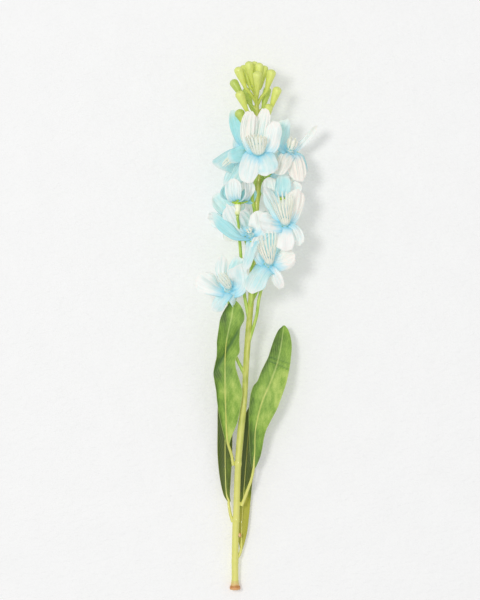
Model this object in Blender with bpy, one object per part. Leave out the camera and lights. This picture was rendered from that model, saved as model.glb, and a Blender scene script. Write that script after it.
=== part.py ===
"""A delphinium flower spike with cloth petals and moulded green parts, cut and lying on a surface.

Every size is in millimetres. Places are measured from the cut end of the stem: x across the spike,
y along it towards the buds, and z up from the surface. The whole spike hangs on one empty, which
puts the middle of the underside of its box at the world's origin.
"""

import math
from typing import NamedTuple

import bmesh
import bpy
from mathutils import Matrix, Vector

MM = 0.001
GAP = 0.3

# Stem: centre line and radius, from the cut end to the highest bud
STEM = [
    (0.0, 4.8, 4.4, 2.4),
    (0.0, 22.5, 5.8, 2.4),
    (0.5, 46.0, 8.0, 2.4),
    (0.7, 50.5, 8.5, 2.7),
    (1.0, 55.0, 9.0, 2.3),
    (2.0, 85.5, 12.2, 2.3),
    (2.6, 90.5, 12.7, 2.6),
    (4.0, 111.5, 14.6, 2.5),
    (6.5, 134.5, 16.8, 2.1),
    (8.0, 162.5, 19.4, 2.2),
    (9.5, 183.5, 21.2, 2.2),
    (11.0, 201.0, 22.6, 2.1),
    (12.0, 222.0, 24.2, 2.1),
    (13.5, 246.5, 25.6, 2.2),
    (15.0, 271.0, 26.5, 2.1),
    (16.5, 295.5, 27.0, 1.9),
    (16.5, 323.5, 27.4, 1.6),
    (14.8, 344.5, 28.0, 1.2),
    (13.8, 353.0, 28.4, 0.8),
]
STEM_SIDES = 10
STEM_STEPS = 2

# The flared end where the stem was cut
STEM_END_RADIUS = 3.8
STEM_END_LENGTH = 4.5
STEM_END_SIDES = 14
STEM_END_PROFILE = [(0.0, 0.92), (0.5, 1.0), (0.75, 0.97), (1.0, 0.8)]  # shares of length and radius

# Petal: lengths across and along it are shares of its width and its length
THROAT_RADIUS = 2.0
CLOTH = 0.6
PETAL_ROWS = 6
PETAL_COLUMNS = 2
PETAL_BASE_WIDTH = 1.7
PETAL_WIDEST_AT = 0.64
PETAL_SHOULDER_POWER = 1.7
PETAL_END_POWER = 2.6
PETAL_END_HALF_WIDTH = 0.16
PETAL_END_ROUNDING = 0.05
PETAL_HOLD = 0.3  # how far the throat's direction carries
PETAL_BOW = 0.06  # how far the outer half bulges along the flower's axis
PETAL_LEAN = math.radians(13)  # each petal tucks one edge over its neighbour, like a pinwheel
PETAL_LEAN_RATE = 5
PETAL_TURN_RATE = 1.6  # how soon the petal turns from the throat's side to its tip's
PETAL_ROW_CROWDING = 0.25  # rows stand closer together towards the tip

# Stalk, tube and star: distances from the throat, back along the flower's axis
TUBE_RADIUS = 1.9
TUBE_TAPER = 1.2
TUBE_END = 2.4
STALK_RADIUS = 1.05
STALK_STEPS = 3
STALK_END = 1.5
STALK_SWELL = 1.25
STALK_FOOT = (0.6, 0.2)  # share of the radius where a stalk leaves the stem, and its gain per step
STAR_LOBES = 5
# Rings of the star: height and reach of a lobe, then width and height of the notch between lobes
STAR = [(-1.7, 2.7, 2.0, -1.7), (-0.95, 5.4, 2.28, -1.3), (-0.6, 5.0, 2.09, -0.8),
        (-0.75, 1.62, 1.62, -0.75)]

# Stamens: a disc in the throat with a fan of filaments
STAMEN_BASE_RADIUS = 1.25
STAMEN_BASE_HEIGHT = 0.6
FILAMENTS = 7
FILAMENT_INSET = 0.16
FILAMENT_BEND = 1.2
FILAMENT_SIZES = (0.8, 0.6)
FAN_DEPTH = 0.45  # the fan is this share as deep as it is wide

# Bud: a drop on a thin stalk
BUD_RADIUS = 3.1
BUD_LENGTH = 15.0
BUD_STALK_RADIUS = 1.0
BUD_STALK_FOOT = (0.7, 0.15)
BUD_RISE = 0.35  # how much a bud turns along the stem
BUD_SIDES = 8
BUD_SWELL = [(0.3, 0.46), (0.6, 0.72), (0.82, 0.93), (1.0, 1.0)]  # shares of length and radius
BUD_END_TURNS = (30, 55, 78)
BUD_END_LENGTH = 0.95

# Leaf: its thickness, and the half width at which its stalk starts to flatten into the blade
LEAF_THICKNESS = 0.8
MIDRIB_THICKNESS = 1.12
PETIOLE_THICKNESS = 2.0
PETIOLE_FLANK = 1.6
PETIOLE_HALF_WIDTH = 1.3
BLADE_FADE = 3.0
LEAF_DROOP = 0.16
LEAF_STATIONS = (-1.0, -0.55, 0.0, 0.55, 1.0, 0.55, 0.0, -0.55)  # round the section, over then under


class Flower(NamedTuple):
    """One blossom: its throat, the way it faces, its stalk and its petals."""

    hub: tuple
    axis: tuple
    tube: float
    joint: float
    route: list
    petals: list
    stamens: tuple
    spread: float
    cup: float = 0.16
    opening: float = 42


# Each petal is its tip's x, y, z and its width. The route is the stalk's, from the stem outwards,
# and the joint is how far along the stem it leaves.
FLOWERS = {
    "01": Flower(
        hub=(16, 305, 38.0), axis=(0.0, 0.5, 0.86), tube=7, joint=264,
        route=[(12.0, 277, 31.0), (14.5, 289, 31.6)],
        petals=[
            (11.0, 336.5, 43.5, 10.5), (21.5, 338.0, 37.0, 8.5), (31.0, 329.0, 40.0, 10.0),
            (24.5, 289.0, 46.0, 14.0), (8.5, 285.0, 45.0, 10.5),
        ],
        stamens=(16.5, 321, 46.0), spread=5.5,
    ),
    "02": Flower(
        hub=(9.0, 307.5, 19.5), axis=(-0.75, 0.3, -0.5), tube=5, joint=284,
        route=[(13.0, 296, 21.5)],
        petals=[
            (0.0, 336.5, 21.0, 11.0), (-12.0, 300.5, 25.0, 12.0), (-2.0, 287.0, 12.0, 10.0),
            (-8.5, 309.5, 2.5, 9.5), (4.5, 329.0, 5.0, 9.0),
        ],
        stamens=(-8.0, 312, 13.0), spread=4.0,
    ),
    "03": Flower(
        hub=(2.0, 273.5, 33.0), axis=(-0.05, 0.99, -0.1), tube=9, joint=190,
        route=[(6.0, 211.5, 24.5), (4.0, 236.5, 27.5), (2.4, 256.0, 32.0)],
        petals=[
            (-4.0, 299.0, 38.5, 10.5), (8.0, 296.5, 35.0, 10.0), (-11.0, 289.0, 30.0, 9.5),
            (10.0, 288.5, 27.5, 9.0), (0.0, 291.5, 24.5, 9.5),
        ],
        stamens=(0.5, 291, 31.0), spread=3.5,
    ),
    "04": Flower(
        hub=(38.5, 308, 25.0), axis=(0.25, 0.86, 0.4), tube=7, joint=281,
        route=[(26.0, 294.5, 21.5)],
        petals=[
            (35.0, 331.0, 31.0, 9.5), (56.5, 326.0, 25.0, 7.0), (31.5, 291.5, 35.5, 10.0),
            (45.5, 287.0, 32.5, 9.5), (51.5, 293.0, 20.0, 9.0), (25.5, 319.0, 12.5, 7.5),
        ],
        stamens=(41.5, 319, 31.0), spread=3.5, opening=54,
    ),
    "05": Flower(
        hub=(32.0, 277, 24.5), axis=(0.1, 0.99, 0.05), tube=8, joint=233,
        route=[(18.8, 245, 25.0), (25.0, 259, 24.0)],
        petals=[
            (24.0, 290.0, 27.5, 9.0), (33.5, 294.0, 27.0, 8.0), (43.0, 288.5, 25.0, 8.0),
            (27.0, 290.0, 15.0, 8.0), (39.0, 291.0, 14.0, 8.0),
        ],
        stamens=(33.0, 291, 22.0), spread=3.0,
    ),
    "06": Flower(
        hub=(34.5, 257.5, 34.5), axis=(0.1, 0.5, 0.86), tube=8, joint=203,
        route=[(20.5, 220, 23.0), (29.5, 239, 24.5)],
        petals=[
            (43.5, 280.0, 37.0, 12.0), (20.5, 282.0, 37.5, 8.5), (17.5, 255.5, 41.0, 11.0),
            (34.5, 238.0, 43.0, 10.5), (46.5, 242.5, 34.0, 7.0),
        ],
        stamens=(36.5, 271, 43.5), spread=6.5,
    ),
    "07": Flower(
        hub=(8.5, 247, 35.0), axis=(-0.05, 0.6, 0.8), tube=6, joint=197,
        route=[(12.3, 214, 28.0), (12.0, 229, 29.0)],
        petals=[
            (-15.5, 264.5, 32.0, 10.0), (-6.5, 270.0, 38.5, 8.5), (3.5, 263.0, 38.5, 6.0),
            (16.5, 265.5, 34.0, 9.5), (8.5, 227.0, 39.5, 9.0),
        ],
        stamens=(4.0, 259.5, 43.5), spread=4.0,
    ),
    "08": Flower(
        hub=(22.5, 228, 36.0), axis=(0.15, 0.55, 0.82), tube=8, joint=172,
        route=[(14.8, 192, 23.0), (19.5, 211, 25.5)],
        petals=[
            (17.0, 247.0, 41.0, 7.5), (28.5, 252.5, 34.5, 9.5), (41.5, 234.0, 37.0, 9.5),
            (10.5, 212.5, 40.0, 12.5), (32.0, 213.5, 35.0, 7.0),
        ],
        stamens=(22.0, 244, 42.5), spread=4.5,
    ),
    "09": Flower(
        hub=(-6.5, 210, 30.0), axis=(-0.1, 0.5, 0.86), tube=7, joint=151,
        route=[(-0.5, 168, 18.0), (-4.5, 190, 19.0)],
        petals=[
            (4.0, 232.0, 35.5, 13.0), (-11.5, 234.5, 31.5, 8.5),
            (-25.0, 214.0, 27.0, 10.0), (-16.0, 198.0, 30.0, 7.5), (2.0, 203.0, 35.0, 9.0),
        ],
        stamens=(-10.5, 224, 38.0), spread=5.0, opening=58,
    ),
    "10": Flower(
        hub=(-0.5, 263, 14.5), axis=(-0.3, 0.4, -0.86), tube=7, joint=229,
        route=[(7.5, 246.0, 20.5)],
        petals=[
            (-13.5, 281.0, 17.0, 10.0), (-19.0, 262.5, 7.0, 10.0), (0.5, 282.0, 3.5, 9.0),
            (9.0, 267.0, 4.5, 8.0), (-5.0, 245.5, 0.4, 9.0),
        ],
        stamens=(-5.0, 269, 5.0), spread=3.5,
    ),
    "11": Flower(
        hub=(21.0, 249.5, 12.5), axis=(0.25, 0.15, -0.95), tube=7, joint=215,
        route=[(17.0, 232, 18.5)],
        petals=[
            (38.0, 255.0, 2.0, 9.0), (26.5, 267.0, 2.5, 9.0), (11.5, 258.5, 0.5, 9.0),
            (13.5, 236.0, 0.7, 9.0), (32.5, 238.5, 1.0, 9.0),
        ],
        stamens=(23.0, 251, 3.5), spread=3.0,
    ),
    "12": Flower(
        hub=(21.0, 292.0, 13.5), axis=(0.3, 0.3, -0.9), tube=7, joint=267,
        route=[(17.5, 280, 19.5)],
        petals=[
            (39.5, 298.0, 3.5, 9.0), (28.5, 311.5, 2.5, 9.0), (11.0, 303.0, 1.5, 9.0),
            (15.0, 278.0, 1.5, 9.0), (33.0, 279.5, 2.0, 9.0),
        ],
        stamens=(24.0, 295, 4.5), spread=3.0,
    ),
}

# Bud: the middle of its round end, and how far along the stem its stalk leaves
BUDS = {
    "01": ((-0.5, 356.0, 27.0), 336),
    "02": ((3.5, 347.5, 32.5), 327),
    "03": ((2.5, 364.5, 32.0), 342),
    "04": ((6.0, 366.5, 25.5), 347),
    "05": ((9.8, 368.5, 31.5), 349),
    "06": ((13.5, 369.0, 25.5), 350),
    "07": ((16.8, 367.5, 31.0), 347),
    "08": ((20.5, 366.0, 26.0), 349),
    "09": ((15.5, 361.0, 37.0), 341),
    "10": ((25.3, 362.5, 30.5), 340),
    "11": ((29.3, 350.5, 31.0), 326),
    "12": ((23.5, 338.5, 34.0), 320),
    "13": ((3.5, 334.5, 27.5), 315),
    "14": ((8.0, 350.5, 20.5), 331),
    "15": ((22.5, 351.0, 21.5), 333),
}

# Leaf: points of its middle line with half its width and its lean about that line, in degrees.
# The first points are the stalk of the leaf.
LEAVES = {
    "leaf_1": [
        (-1.2, 88.0, 12.6, 0.9, 0), (-2.0, 95.0, 13.2, 1.1, 0), (-3.9, 103.0, 14.6, 1.3, 0),
        (-4.5, 112.0, 16.2, 4.2, 0), (-4.2, 120.0, 17.8, 7.0, 0), (-4.4, 132.0, 20.2, 8.6, 6),
        (-5.6, 146.0, 22.4, 8.8, 8), (-6.4, 157.0, 22.2, 8.0, 4), (-5.2, 166.0, 23.2, 7.8, -8),
        (-3.8, 178.0, 26.0, 8.0, -4), (-2.0, 190.0, 26.8, 7.8, 0), (-1.0, 199.0, 25.6, 5.4, 0),
        (-0.8, 204.2, 24.6, 1.6, 0),
    ],
    "leaf_2": [
        (4.6, 59.5, 9.8, 0.9, 0), (7.5, 68.0, 10.6, 1.1, 0), (11.2, 78.5, 11.6, 1.3, 0),
        (13.4, 88.0, 12.6, 2.2, -10), (14.4, 102.0, 13.8, 4.0, -14), (17.2, 119.0, 15.2, 7.4, -12),
        (21.4, 134.0, 16.2, 10.2, -6), (24.6, 144.0, 16.4, 10.4, 0), (27.8, 154.5, 15.4, 9.2, 6),
        (31.0, 166.0, 14.2, 7.6, 8), (33.2, 178.0, 12.0, 6.2, 4), (34.8, 186.0, 9.8, 3.8, 0),
        (35.4, 190.0, 8.6, 1.2, 0),
    ],
    "leaf_3": [
        (-3.4, 50.5, 8.0, 0.9, 0), (-4.2, 60.0, 7.6, 1.1, 0), (-5.2, 68.0, 7.2, 2.6, 20),
        (-6.6, 80.0, 7.0, 4.4, 34), (-7.0, 95.0, 7.0, 5.2, 30), (-7.0, 112.0, 7.4, 5.4, 24),
        (-7.0, 130.0, 8.6, 5.2, 16), (-7.6, 146.0, 10.6, 3.8, 10), (-8.4, 156.0, 12.4, 1.4, 8),
    ],
    "leaf_4": [
        (3.4, 27.0, 5.4, 0.9, 0), (4.0, 33.0, 4.4, 1.6, 0), (4.6, 42.0, 3.2, 3.2, 0),
        (5.4, 56.0, 2.6, 4.4, -4), (6.6, 74.0, 2.8, 5.4, -6), (8.0, 92.0, 3.8, 5.8, -6),
        (9.4, 110.0, 5.2, 5.2, -4), (10.8, 124.0, 7.0, 3.2, 0), (11.4, 130.0, 8.0, 1.1, 0),
    ],
}

COLOURS = {
    "stem": ((0.56, 0.62, 0.16), 0.55),
    "stem_end": ((0.72, 0.40, 0.18), 0.6),
    "leaf": ((0.20, 0.36, 0.05), 0.6),
    "bud": ((0.50, 0.62, 0.08), 0.5),
    "calyx": ((0.55, 0.72, 0.10), 0.5),
    "petal": ((0.62, 0.86, 0.90), 0.8),
    "stamen": ((0.84, 0.82, 0.64), 0.7),
}


def clear_scene():
    for thing in list(bpy.data.objects):
        bpy.data.objects.remove(thing, do_unlink=True)


def finish_of(node, family):
    """A material of the node's own, in the colour of its family."""
    colour, roughness = COLOURS[family]
    made = bpy.data.materials.new(node)
    made.use_nodes = True
    shader = made.node_tree.nodes["Principled BSDF"]
    shader.inputs["Base Color"].default_value = (*colour, 1.0)
    shader.inputs["Roughness"].default_value = roughness
    shader.inputs["Metallic"].default_value = 0.0
    return made


def add_node(name, family, shape, parent):
    """Makes one named object from a bmesh whose points are in millimetres."""
    bmesh.ops.scale(shape, vec=(MM, MM, MM), verts=shape.verts)
    bmesh.ops.recalc_face_normals(shape, faces=shape.faces)
    mesh = bpy.data.meshes.new(name)
    shape.to_mesh(mesh)
    shape.free()
    mesh.shade_smooth()
    mesh.set_sharp_from_angle(angle=math.radians(50))
    mesh.materials.append(finish_of(name, family))
    made = bpy.data.objects.new(name, mesh)
    made.parent = parent
    bpy.context.scene.collection.objects.link(made)
    return made


def curve_through(points, steps):
    """A smooth curve through points of any width, with steps stretches between each pair."""
    ends = [2 * points[0] - points[1], *points, 2 * points[-1] - points[-2]]
    found = []
    for a, b, c, d in zip(ends, ends[1:], ends[2:], ends[3:]):
        for step in range(steps):
            t = step / steps
            found.append(
                0.5 * (2 * b + (c - a) * t + (2 * a - 5 * b + 4 * c - d) * t**2
                       + (3 * b - a - 3 * c + d) * t**3)
            )
    return [*found, points[-1]]


def frames_along(path, side):
    """A tangent and two sides at each point, turned as little as possible from one to the next."""
    found = []
    for i, point in enumerate(path):
        ahead = path[min(i + 1, len(path) - 1)] - path[max(i - 1, 0)]
        tangent = ahead.normalized()
        side = (side - tangent * side.dot(tangent)).normalized()
        found.append((point, tangent, side, tangent.cross(side)))
    return found


def loft(rings):
    """A closed skin over rings with equal numbers of points, capped at both ends."""
    shape = bmesh.new()
    rows = [[shape.verts.new(point) for point in ring] for ring in rings]
    count = len(rings[0])
    for low, high in zip(rows, rows[1:]):
        for i in range(count):
            j = (i + 1) % count
            shape.faces.new((low[i], low[j], high[j], high[i]))
    shape.faces.new(reversed(rows[0]))
    shape.faces.new(rows[-1])
    return shape


def round_rings(path, radii, sides, side):
    """Rings of a round rod whose radius changes along its path."""
    rings = []
    for (point, _, across, up), radius in zip(frames_along(path, side), radii):
        turns = [2 * math.pi * i / sides for i in range(sides)]
        rings.append(
            [point + radius * (math.cos(a) * across + math.sin(a) * up) for a in turns]
        )
    return rings


def stem_line():
    """The stem's centre points and radii along its smooth curve."""
    line = curve_through([Vector(row) for row in STEM], STEM_STEPS)
    return [row.to_3d() for row in line], [row[3] for row in line]


def stem_at(y):
    """The stem's centre, direction and radius at a distance along it."""
    points, radii = stem_line()
    for i in range(len(points) - 1):
        if points[i + 1].y >= y:
            break
    share = (y - points[i].y) / (points[i + 1].y - points[i].y)
    direction = (points[i + 1] - points[i]).normalized()
    radius = radii[i] + (radii[i + 1] - radii[i]) * share
    return points[i].lerp(points[i + 1], share), direction, radius


def leaving_point(y, towards, radius):
    """Where a stalk of this radius lies against the stem, on the side that faces a point."""
    centre, direction, stem_radius = stem_at(y)
    away = towards - centre
    away = (away - direction * away.dot(direction)).normalized()
    return centre + away * (stem_radius + GAP + radius)


def make_stem(parent):
    points, radii = stem_line()
    shape = loft(round_rings(points, radii, STEM_SIDES, Vector((1, 0, 0))))
    add_node("stem", "stem", shape, parent)


def make_stem_end(parent):
    """The stem's flared end: a short plug with a rounded shoulder where the stem meets it."""
    centre = Vector(STEM[0][:3])
    path = [
        Vector((centre.x, share * STEM_END_LENGTH, STEM_END_RADIUS)) for share, _ in STEM_END_PROFILE
    ]
    radii = [STEM_END_RADIUS * share for _, share in STEM_END_PROFILE]
    shape = loft(round_rings(path, radii, STEM_END_SIDES, Vector((1, 0, 0))))
    add_node("stem_end", "stem_end", shape, parent)


def bezier(points, s):
    """A point of a cubic curve and the curve's direction there."""
    a, b, c, d = points
    rest = 1 - s
    point = rest**3 * a + 3 * s * rest**2 * b + 3 * s**2 * rest * c + s**3 * d
    slope = rest**2 * (b - a) + 2 * s * rest * (c - b) + s**2 * (d - c)
    return point, slope.normalized()


def petal_width(s):
    """How wide a petal is at a share of its length, as a share of its full width."""
    if s < PETAL_WIDEST_AT:
        return 1 - (1 - s / PETAL_WIDEST_AT) ** PETAL_SHOULDER_POWER
    fall = (s - PETAL_WIDEST_AT) / (1 - PETAL_WIDEST_AT)
    return math.sqrt(max(0.0, 1 - fall**PETAL_END_POWER))


def around(axis):
    """Two directions square to an axis."""
    first = axis.orthogonal().normalized()
    return first, axis.cross(first)


def turn_of(direction, axis):
    first, second = around(axis)
    return math.atan2(direction.dot(second), direction.dot(first))


def petal_order(flower):
    """The petals in order round the throat, and the turn of each one's foot there."""
    hub = Vector(flower.hub)
    axis = Vector(flower.axis).normalized()
    turned = sorted((turn_of(Vector(p[:3]) - hub, axis), p) for p in flower.petals)
    step = 2 * math.pi / len(turned)
    lag = [turn - i * step for i, (turn, _) in enumerate(turned)]
    start = math.atan2(sum(map(math.sin, lag)), sum(map(math.cos, lag)))
    return [(start + i * step, petal) for i, (_, petal) in enumerate(turned)]


def petal_rows(flower, foot_turn, petal, rows, columns):
    """A petal's points: rows from the throat to the tip, each running across it."""
    hub = Vector(flower.hub)
    axis = Vector(flower.axis).normalized()
    first, second = around(axis)
    radial = math.cos(foot_turn) * first + math.sin(foot_turn) * second
    tip = Vector(petal[:3])
    width = petal[3]
    foot = hub + radial * THROAT_RADIUS
    length = (tip - foot).length
    opening = math.radians(flower.opening)
    rise = axis * math.cos(opening) + radial * math.sin(opening)
    hold = foot + rise * length * PETAL_HOLD
    bend = hold.lerp(tip, 0.5) + axis * length * PETAL_BOW
    side = axis.cross(radial)
    tip_side = axis.cross(tip - foot).normalized()
    if tip_side.dot(side) < 0:
        tip_side = -tip_side
    found = []
    for row in range(rows + 1):
        s = row / rows
        s = s * (1 + PETAL_ROW_CROWDING * (1 - s))
        point, slope = bezier((foot, hold, bend, tip), s)
        across = side.lerp(tip_side, min(1.0, PETAL_TURN_RATE * s))
        across = (across - slope * across.dot(slope)).normalized()
        lean = PETAL_LEAN * min(1.0, PETAL_LEAN_RATE * s)
        across = Matrix.Rotation(lean, 3, slope) @ across
        inward = across.cross(slope)
        base = PETAL_BASE_WIDTH * (1 - s)
        half = 0.5 * (base + (width - base) * petal_width(s))
        if row == rows:
            half = PETAL_END_HALF_WIDTH * width
        line = []
        for column in range(columns + 1):
            t = 2 * column / columns - 1
            lift = flower.cup * half * t * t
            back = PETAL_END_ROUNDING * width * t * t if row == rows else 0.0
            line.append(point + across * half * t + inward * lift - slope * back)
        found.append(line)
    return found


def make_corolla(name, flower, parent):
    """All petals of a flower, cut from one piece of cloth with a disc in the throat."""
    shape = bmesh.new()
    ring = []
    for foot_turn, petal in petal_order(flower):
        rows = petal_rows(flower, foot_turn, petal, PETAL_ROWS, PETAL_COLUMNS)
        points = [[shape.verts.new(point) for point in row] for row in rows]
        for low, high in zip(points, points[1:]):
            for i in range(PETAL_COLUMNS):
                shape.faces.new((low[i], low[i + 1], high[i + 1], high[i]))
        ring.extend(points[0])
    centre = shape.verts.new(Vector(flower.hub))
    for a, b in zip(ring, ring[1:] + ring[:1]):
        shape.faces.new((centre, b, a))
    made = add_node(name, "petal", shape, parent)
    wall = made.modifiers.new("cloth", "SOLIDIFY")
    wall.thickness = CLOTH * MM
    wall.offset = 0.0
    return made


def make_calyx(name, flower, parent):
    """A flower's stalk, its pale tube and the green star under the petals, moulded as one."""
    hub = Vector(flower.hub)
    axis = Vector(flower.axis).normalized()
    route = [Vector(point) for point in flower.route]
    start = leaving_point(flower.joint, route[0], STALK_RADIUS)
    tube_foot = hub - axis * flower.tube
    line = curve_through([start, *route, tube_foot - axis * STALK_END], STALK_STEPS)
    foot, gain = STALK_FOOT
    radii = [STALK_RADIUS * min(1.0, foot + gain * i) for i in range(len(line))]
    line += [tube_foot, tube_foot + axis * TUBE_TAPER, hub - axis * TUBE_END]
    radii += [STALK_RADIUS * STALK_SWELL, TUBE_RADIUS, TUBE_RADIUS]
    count = 2 * STAR_LOBES
    rings = round_rings(line, radii, count, Vector((0, 0, 1)))
    _, _, across, up = frames_along(line, Vector((0, 0, 1)))[-1]
    for lobe_height, lobe_radius, notch_radius, notch_height in STAR:
        ring = []
        for i in range(count):
            lobe = i % 2 == 0
            radius = lobe_radius if lobe else notch_radius
            height = lobe_height if lobe else notch_height
            turn = 2 * math.pi * i / count
            out = math.cos(turn) * across + math.sin(turn) * up
            ring.append(hub + axis * height + out * radius)
        rings.append(ring)
    add_node(name, "calyx", loft(rings), parent)


def make_stamens(name, flower, parent):
    """A small disc in the throat that carries a fan of filaments."""
    hub = Vector(flower.hub)
    axis = Vector(flower.axis).normalized()
    tip = Vector(flower.stamens)
    floor = CLOTH / 2 + GAP
    shape = bmesh.new()
    turned = axis.to_track_quat("Z", "Y").to_matrix().to_4x4()
    place = Matrix.Translation(hub + axis * (floor + STAMEN_BASE_HEIGHT / 2)) @ turned
    bmesh.ops.create_cone(
        shape, cap_ends=True, cap_tris=True, segments=FILAMENTS, radius1=STAMEN_BASE_RADIUS,
        radius2=STAMEN_BASE_RADIUS, depth=STAMEN_BASE_HEIGHT, matrix=place,
    )
    shape.normal_update()
    tops = [face for face in shape.faces if face.normal.angle(axis) < math.radians(20)]
    bmesh.ops.inset_individual(shape, faces=tops, thickness=FILAMENT_INSET)
    heading = (tip - hub).normalized()
    across = heading.cross(axis).normalized()
    up = heading.cross(across)
    for face in tops:
        middle = face.calc_center_median()
        out = middle - hub - axis * (middle - hub).dot(axis)
        turn = math.atan2(out.dot(up), out.dot(across))
        fan = across * math.cos(turn) + up * FAN_DEPTH * math.sin(turn)
        end = tip + flower.spread * fan
        bend = middle.lerp(end, 0.5) + axis * FILAMENT_BEND
        for stop, size in zip((bend, end), FILAMENT_SIZES):
            face = bmesh.ops.extrude_discrete_faces(shape, faces=[face])["faces"][0]
            here = face.calc_center_median()
            for vert in face.verts:
                vert.co = stop + (vert.co - here) * size
    add_node(name, "stamen", shape, parent)


def make_bud(name, place, joint, parent):
    """A drop-shaped bud and its thin stalk."""
    middle = Vector(place)
    start = leaving_point(joint, middle, BUD_STALK_RADIUS)
    _, direction, _ = stem_at(joint)
    heading = (middle - start).normalized()
    heading = (heading + BUD_RISE * direction).normalized()
    neck = middle - heading * (BUD_LENGTH - BUD_RADIUS)
    bend = start.lerp(neck, 0.5) + direction
    line = curve_through([start, bend, neck], 2)
    foot, gain = BUD_STALK_FOOT
    radii = [BUD_STALK_RADIUS * min(1.0, foot + gain * i) for i in range(len(line))]
    for share, size in BUD_SWELL:
        line.append(neck.lerp(middle, share))
        radii.append(BUD_RADIUS * size)
    for turn in BUD_END_TURNS:
        angle = math.radians(turn)
        line.append(middle + heading * BUD_RADIUS * math.sin(angle) * BUD_END_LENGTH)
        radii.append(BUD_RADIUS * math.cos(angle))
    shape = loft(round_rings(line, radii, BUD_SIDES, Vector((0, 0, 1))))
    add_node(name, "bud", shape, parent)


def make_leaf(name, rows, parent):
    """A lance-shaped leaf: a round stalk that flattens into a thin blade with a raised midrib."""
    smooth = curve_through([Vector(row) for row in rows], 1)
    spine = [row.to_3d() for row in smooth]
    rings = []
    for (point, tangent, across, _), row in zip(frames_along(spine, Vector((1, 0, 0))), smooth):
        half, lean = row[3], math.radians(row[4])
        across = Matrix.Rotation(lean, 3, tangent) @ across
        up = across.cross(tangent)
        blade = min(1.0, max(0.0, (half - PETIOLE_HALF_WIDTH) / BLADE_FADE))
        middle = PETIOLE_THICKNESS * (1 - blade) + MIDRIB_THICKNESS * blade
        flank = PETIOLE_FLANK * (1 - blade) + LEAF_THICKNESS * blade
        middle = min(middle, 1.5 * half)
        flank = min(flank, 1.2 * half)
        droop = LEAF_DROOP * half * blade
        ring = []
        for i, t in enumerate(LEAF_STATIONS):
            thick = 0.0 if abs(t) == 1 else (middle if t == 0 else flank)
            sign = 1 if 0 < i < 4 else -1
            height = sign * thick / 2 - droop * t * t
            ring.append(point + across * half * t + up * height)
        rings.append(ring)
    add_node(name, "leaf", loft(rings), parent)


def set_on_origin(parent):
    """Moves the spike so that its box stands on the origin by the middle of its underside."""
    bpy.context.view_layer.update()
    graph = bpy.context.evaluated_depsgraph_get()
    low = Vector((math.inf,) * 3)
    high = -low
    for child in parent.children:
        shaped = child.evaluated_get(graph)
        mesh = shaped.to_mesh()
        for vert in mesh.vertices:
            low = Vector(map(min, low, vert.co))
            high = Vector(map(max, high, vert.co))
        shaped.to_mesh_clear()
    middle = (low + high) / 2
    parent.location = (-middle.x, -middle.y, -low.z)


def main():
    clear_scene()
    spike = bpy.data.objects.new("spike", None)
    bpy.context.scene.collection.objects.link(spike)
    make_stem(spike)
    make_stem_end(spike)
    for name, rows in LEAVES.items():
        make_leaf(name, rows, spike)
    for number, flower in FLOWERS.items():
        make_calyx(f"flower_{number}_calyx", flower, spike)
        make_corolla(f"flower_{number}_petals", flower, spike)
        make_stamens(f"flower_{number}_stamens", flower, spike)
    for number, (place, joint) in BUDS.items():
        make_bud(f"bud_{number}", place, joint, spike)
    set_on_origin(spike)


main()
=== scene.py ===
"""The looks of a made delphinium spike: cloth petals and leaves on a moulded green stem.

Everything is modelled in millimetres from the cut end of the stem, with x across the spike, y along
it towards the buds and z up from the surface it lies on. Finished pieces are then moved into the
frame, whose origin is the middle of the underside of the spike's box.
"""

import math
from typing import NamedTuple

import bpy
import numpy as np
from mathutils import Matrix, Vector


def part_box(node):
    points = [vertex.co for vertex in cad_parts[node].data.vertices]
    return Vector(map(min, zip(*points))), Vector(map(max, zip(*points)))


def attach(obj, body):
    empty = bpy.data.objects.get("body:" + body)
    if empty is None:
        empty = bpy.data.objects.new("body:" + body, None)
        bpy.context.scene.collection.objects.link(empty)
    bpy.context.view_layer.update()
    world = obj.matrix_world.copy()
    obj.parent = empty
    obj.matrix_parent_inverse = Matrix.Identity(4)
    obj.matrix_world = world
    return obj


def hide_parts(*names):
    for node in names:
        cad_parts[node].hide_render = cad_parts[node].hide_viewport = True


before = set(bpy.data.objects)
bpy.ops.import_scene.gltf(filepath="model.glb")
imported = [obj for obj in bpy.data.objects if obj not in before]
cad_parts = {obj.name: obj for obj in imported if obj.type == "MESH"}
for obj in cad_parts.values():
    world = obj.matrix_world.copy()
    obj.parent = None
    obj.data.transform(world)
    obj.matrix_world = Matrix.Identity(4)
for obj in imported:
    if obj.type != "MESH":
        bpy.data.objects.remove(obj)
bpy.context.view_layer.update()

MM = 0.001
PIXEL = 0.7  # millimetres of the spike to a pixel of the photograph
IMAGE = (480, 600)
FOOT_PIXEL = (235, 592)  # where the photograph shows the cut end
STEM_END_RADIUS = 3.8

CAMERA_HEIGHT = 3.0
FLOWER_HEIGHT = 0.027  # the height at which the camera's scale is exact
FLOOR_SIZE = 8.0
WORLD_COLOUR = (0.98, 0.99, 1.0, 1.0)
WORLD_STRENGTH = 0.52
LAMP_COLOUR = (1.0, 0.99, 0.975)
# Lamp: name, place, power in watts, size in metres, and whether it casts shadows
LAMPS = [("key", (-1.4, 0.6, 3.8), 45.0, 1.0, True), ("fill", (0.0, 0.0, 4.0), 43.0, 1.0, False)]

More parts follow.
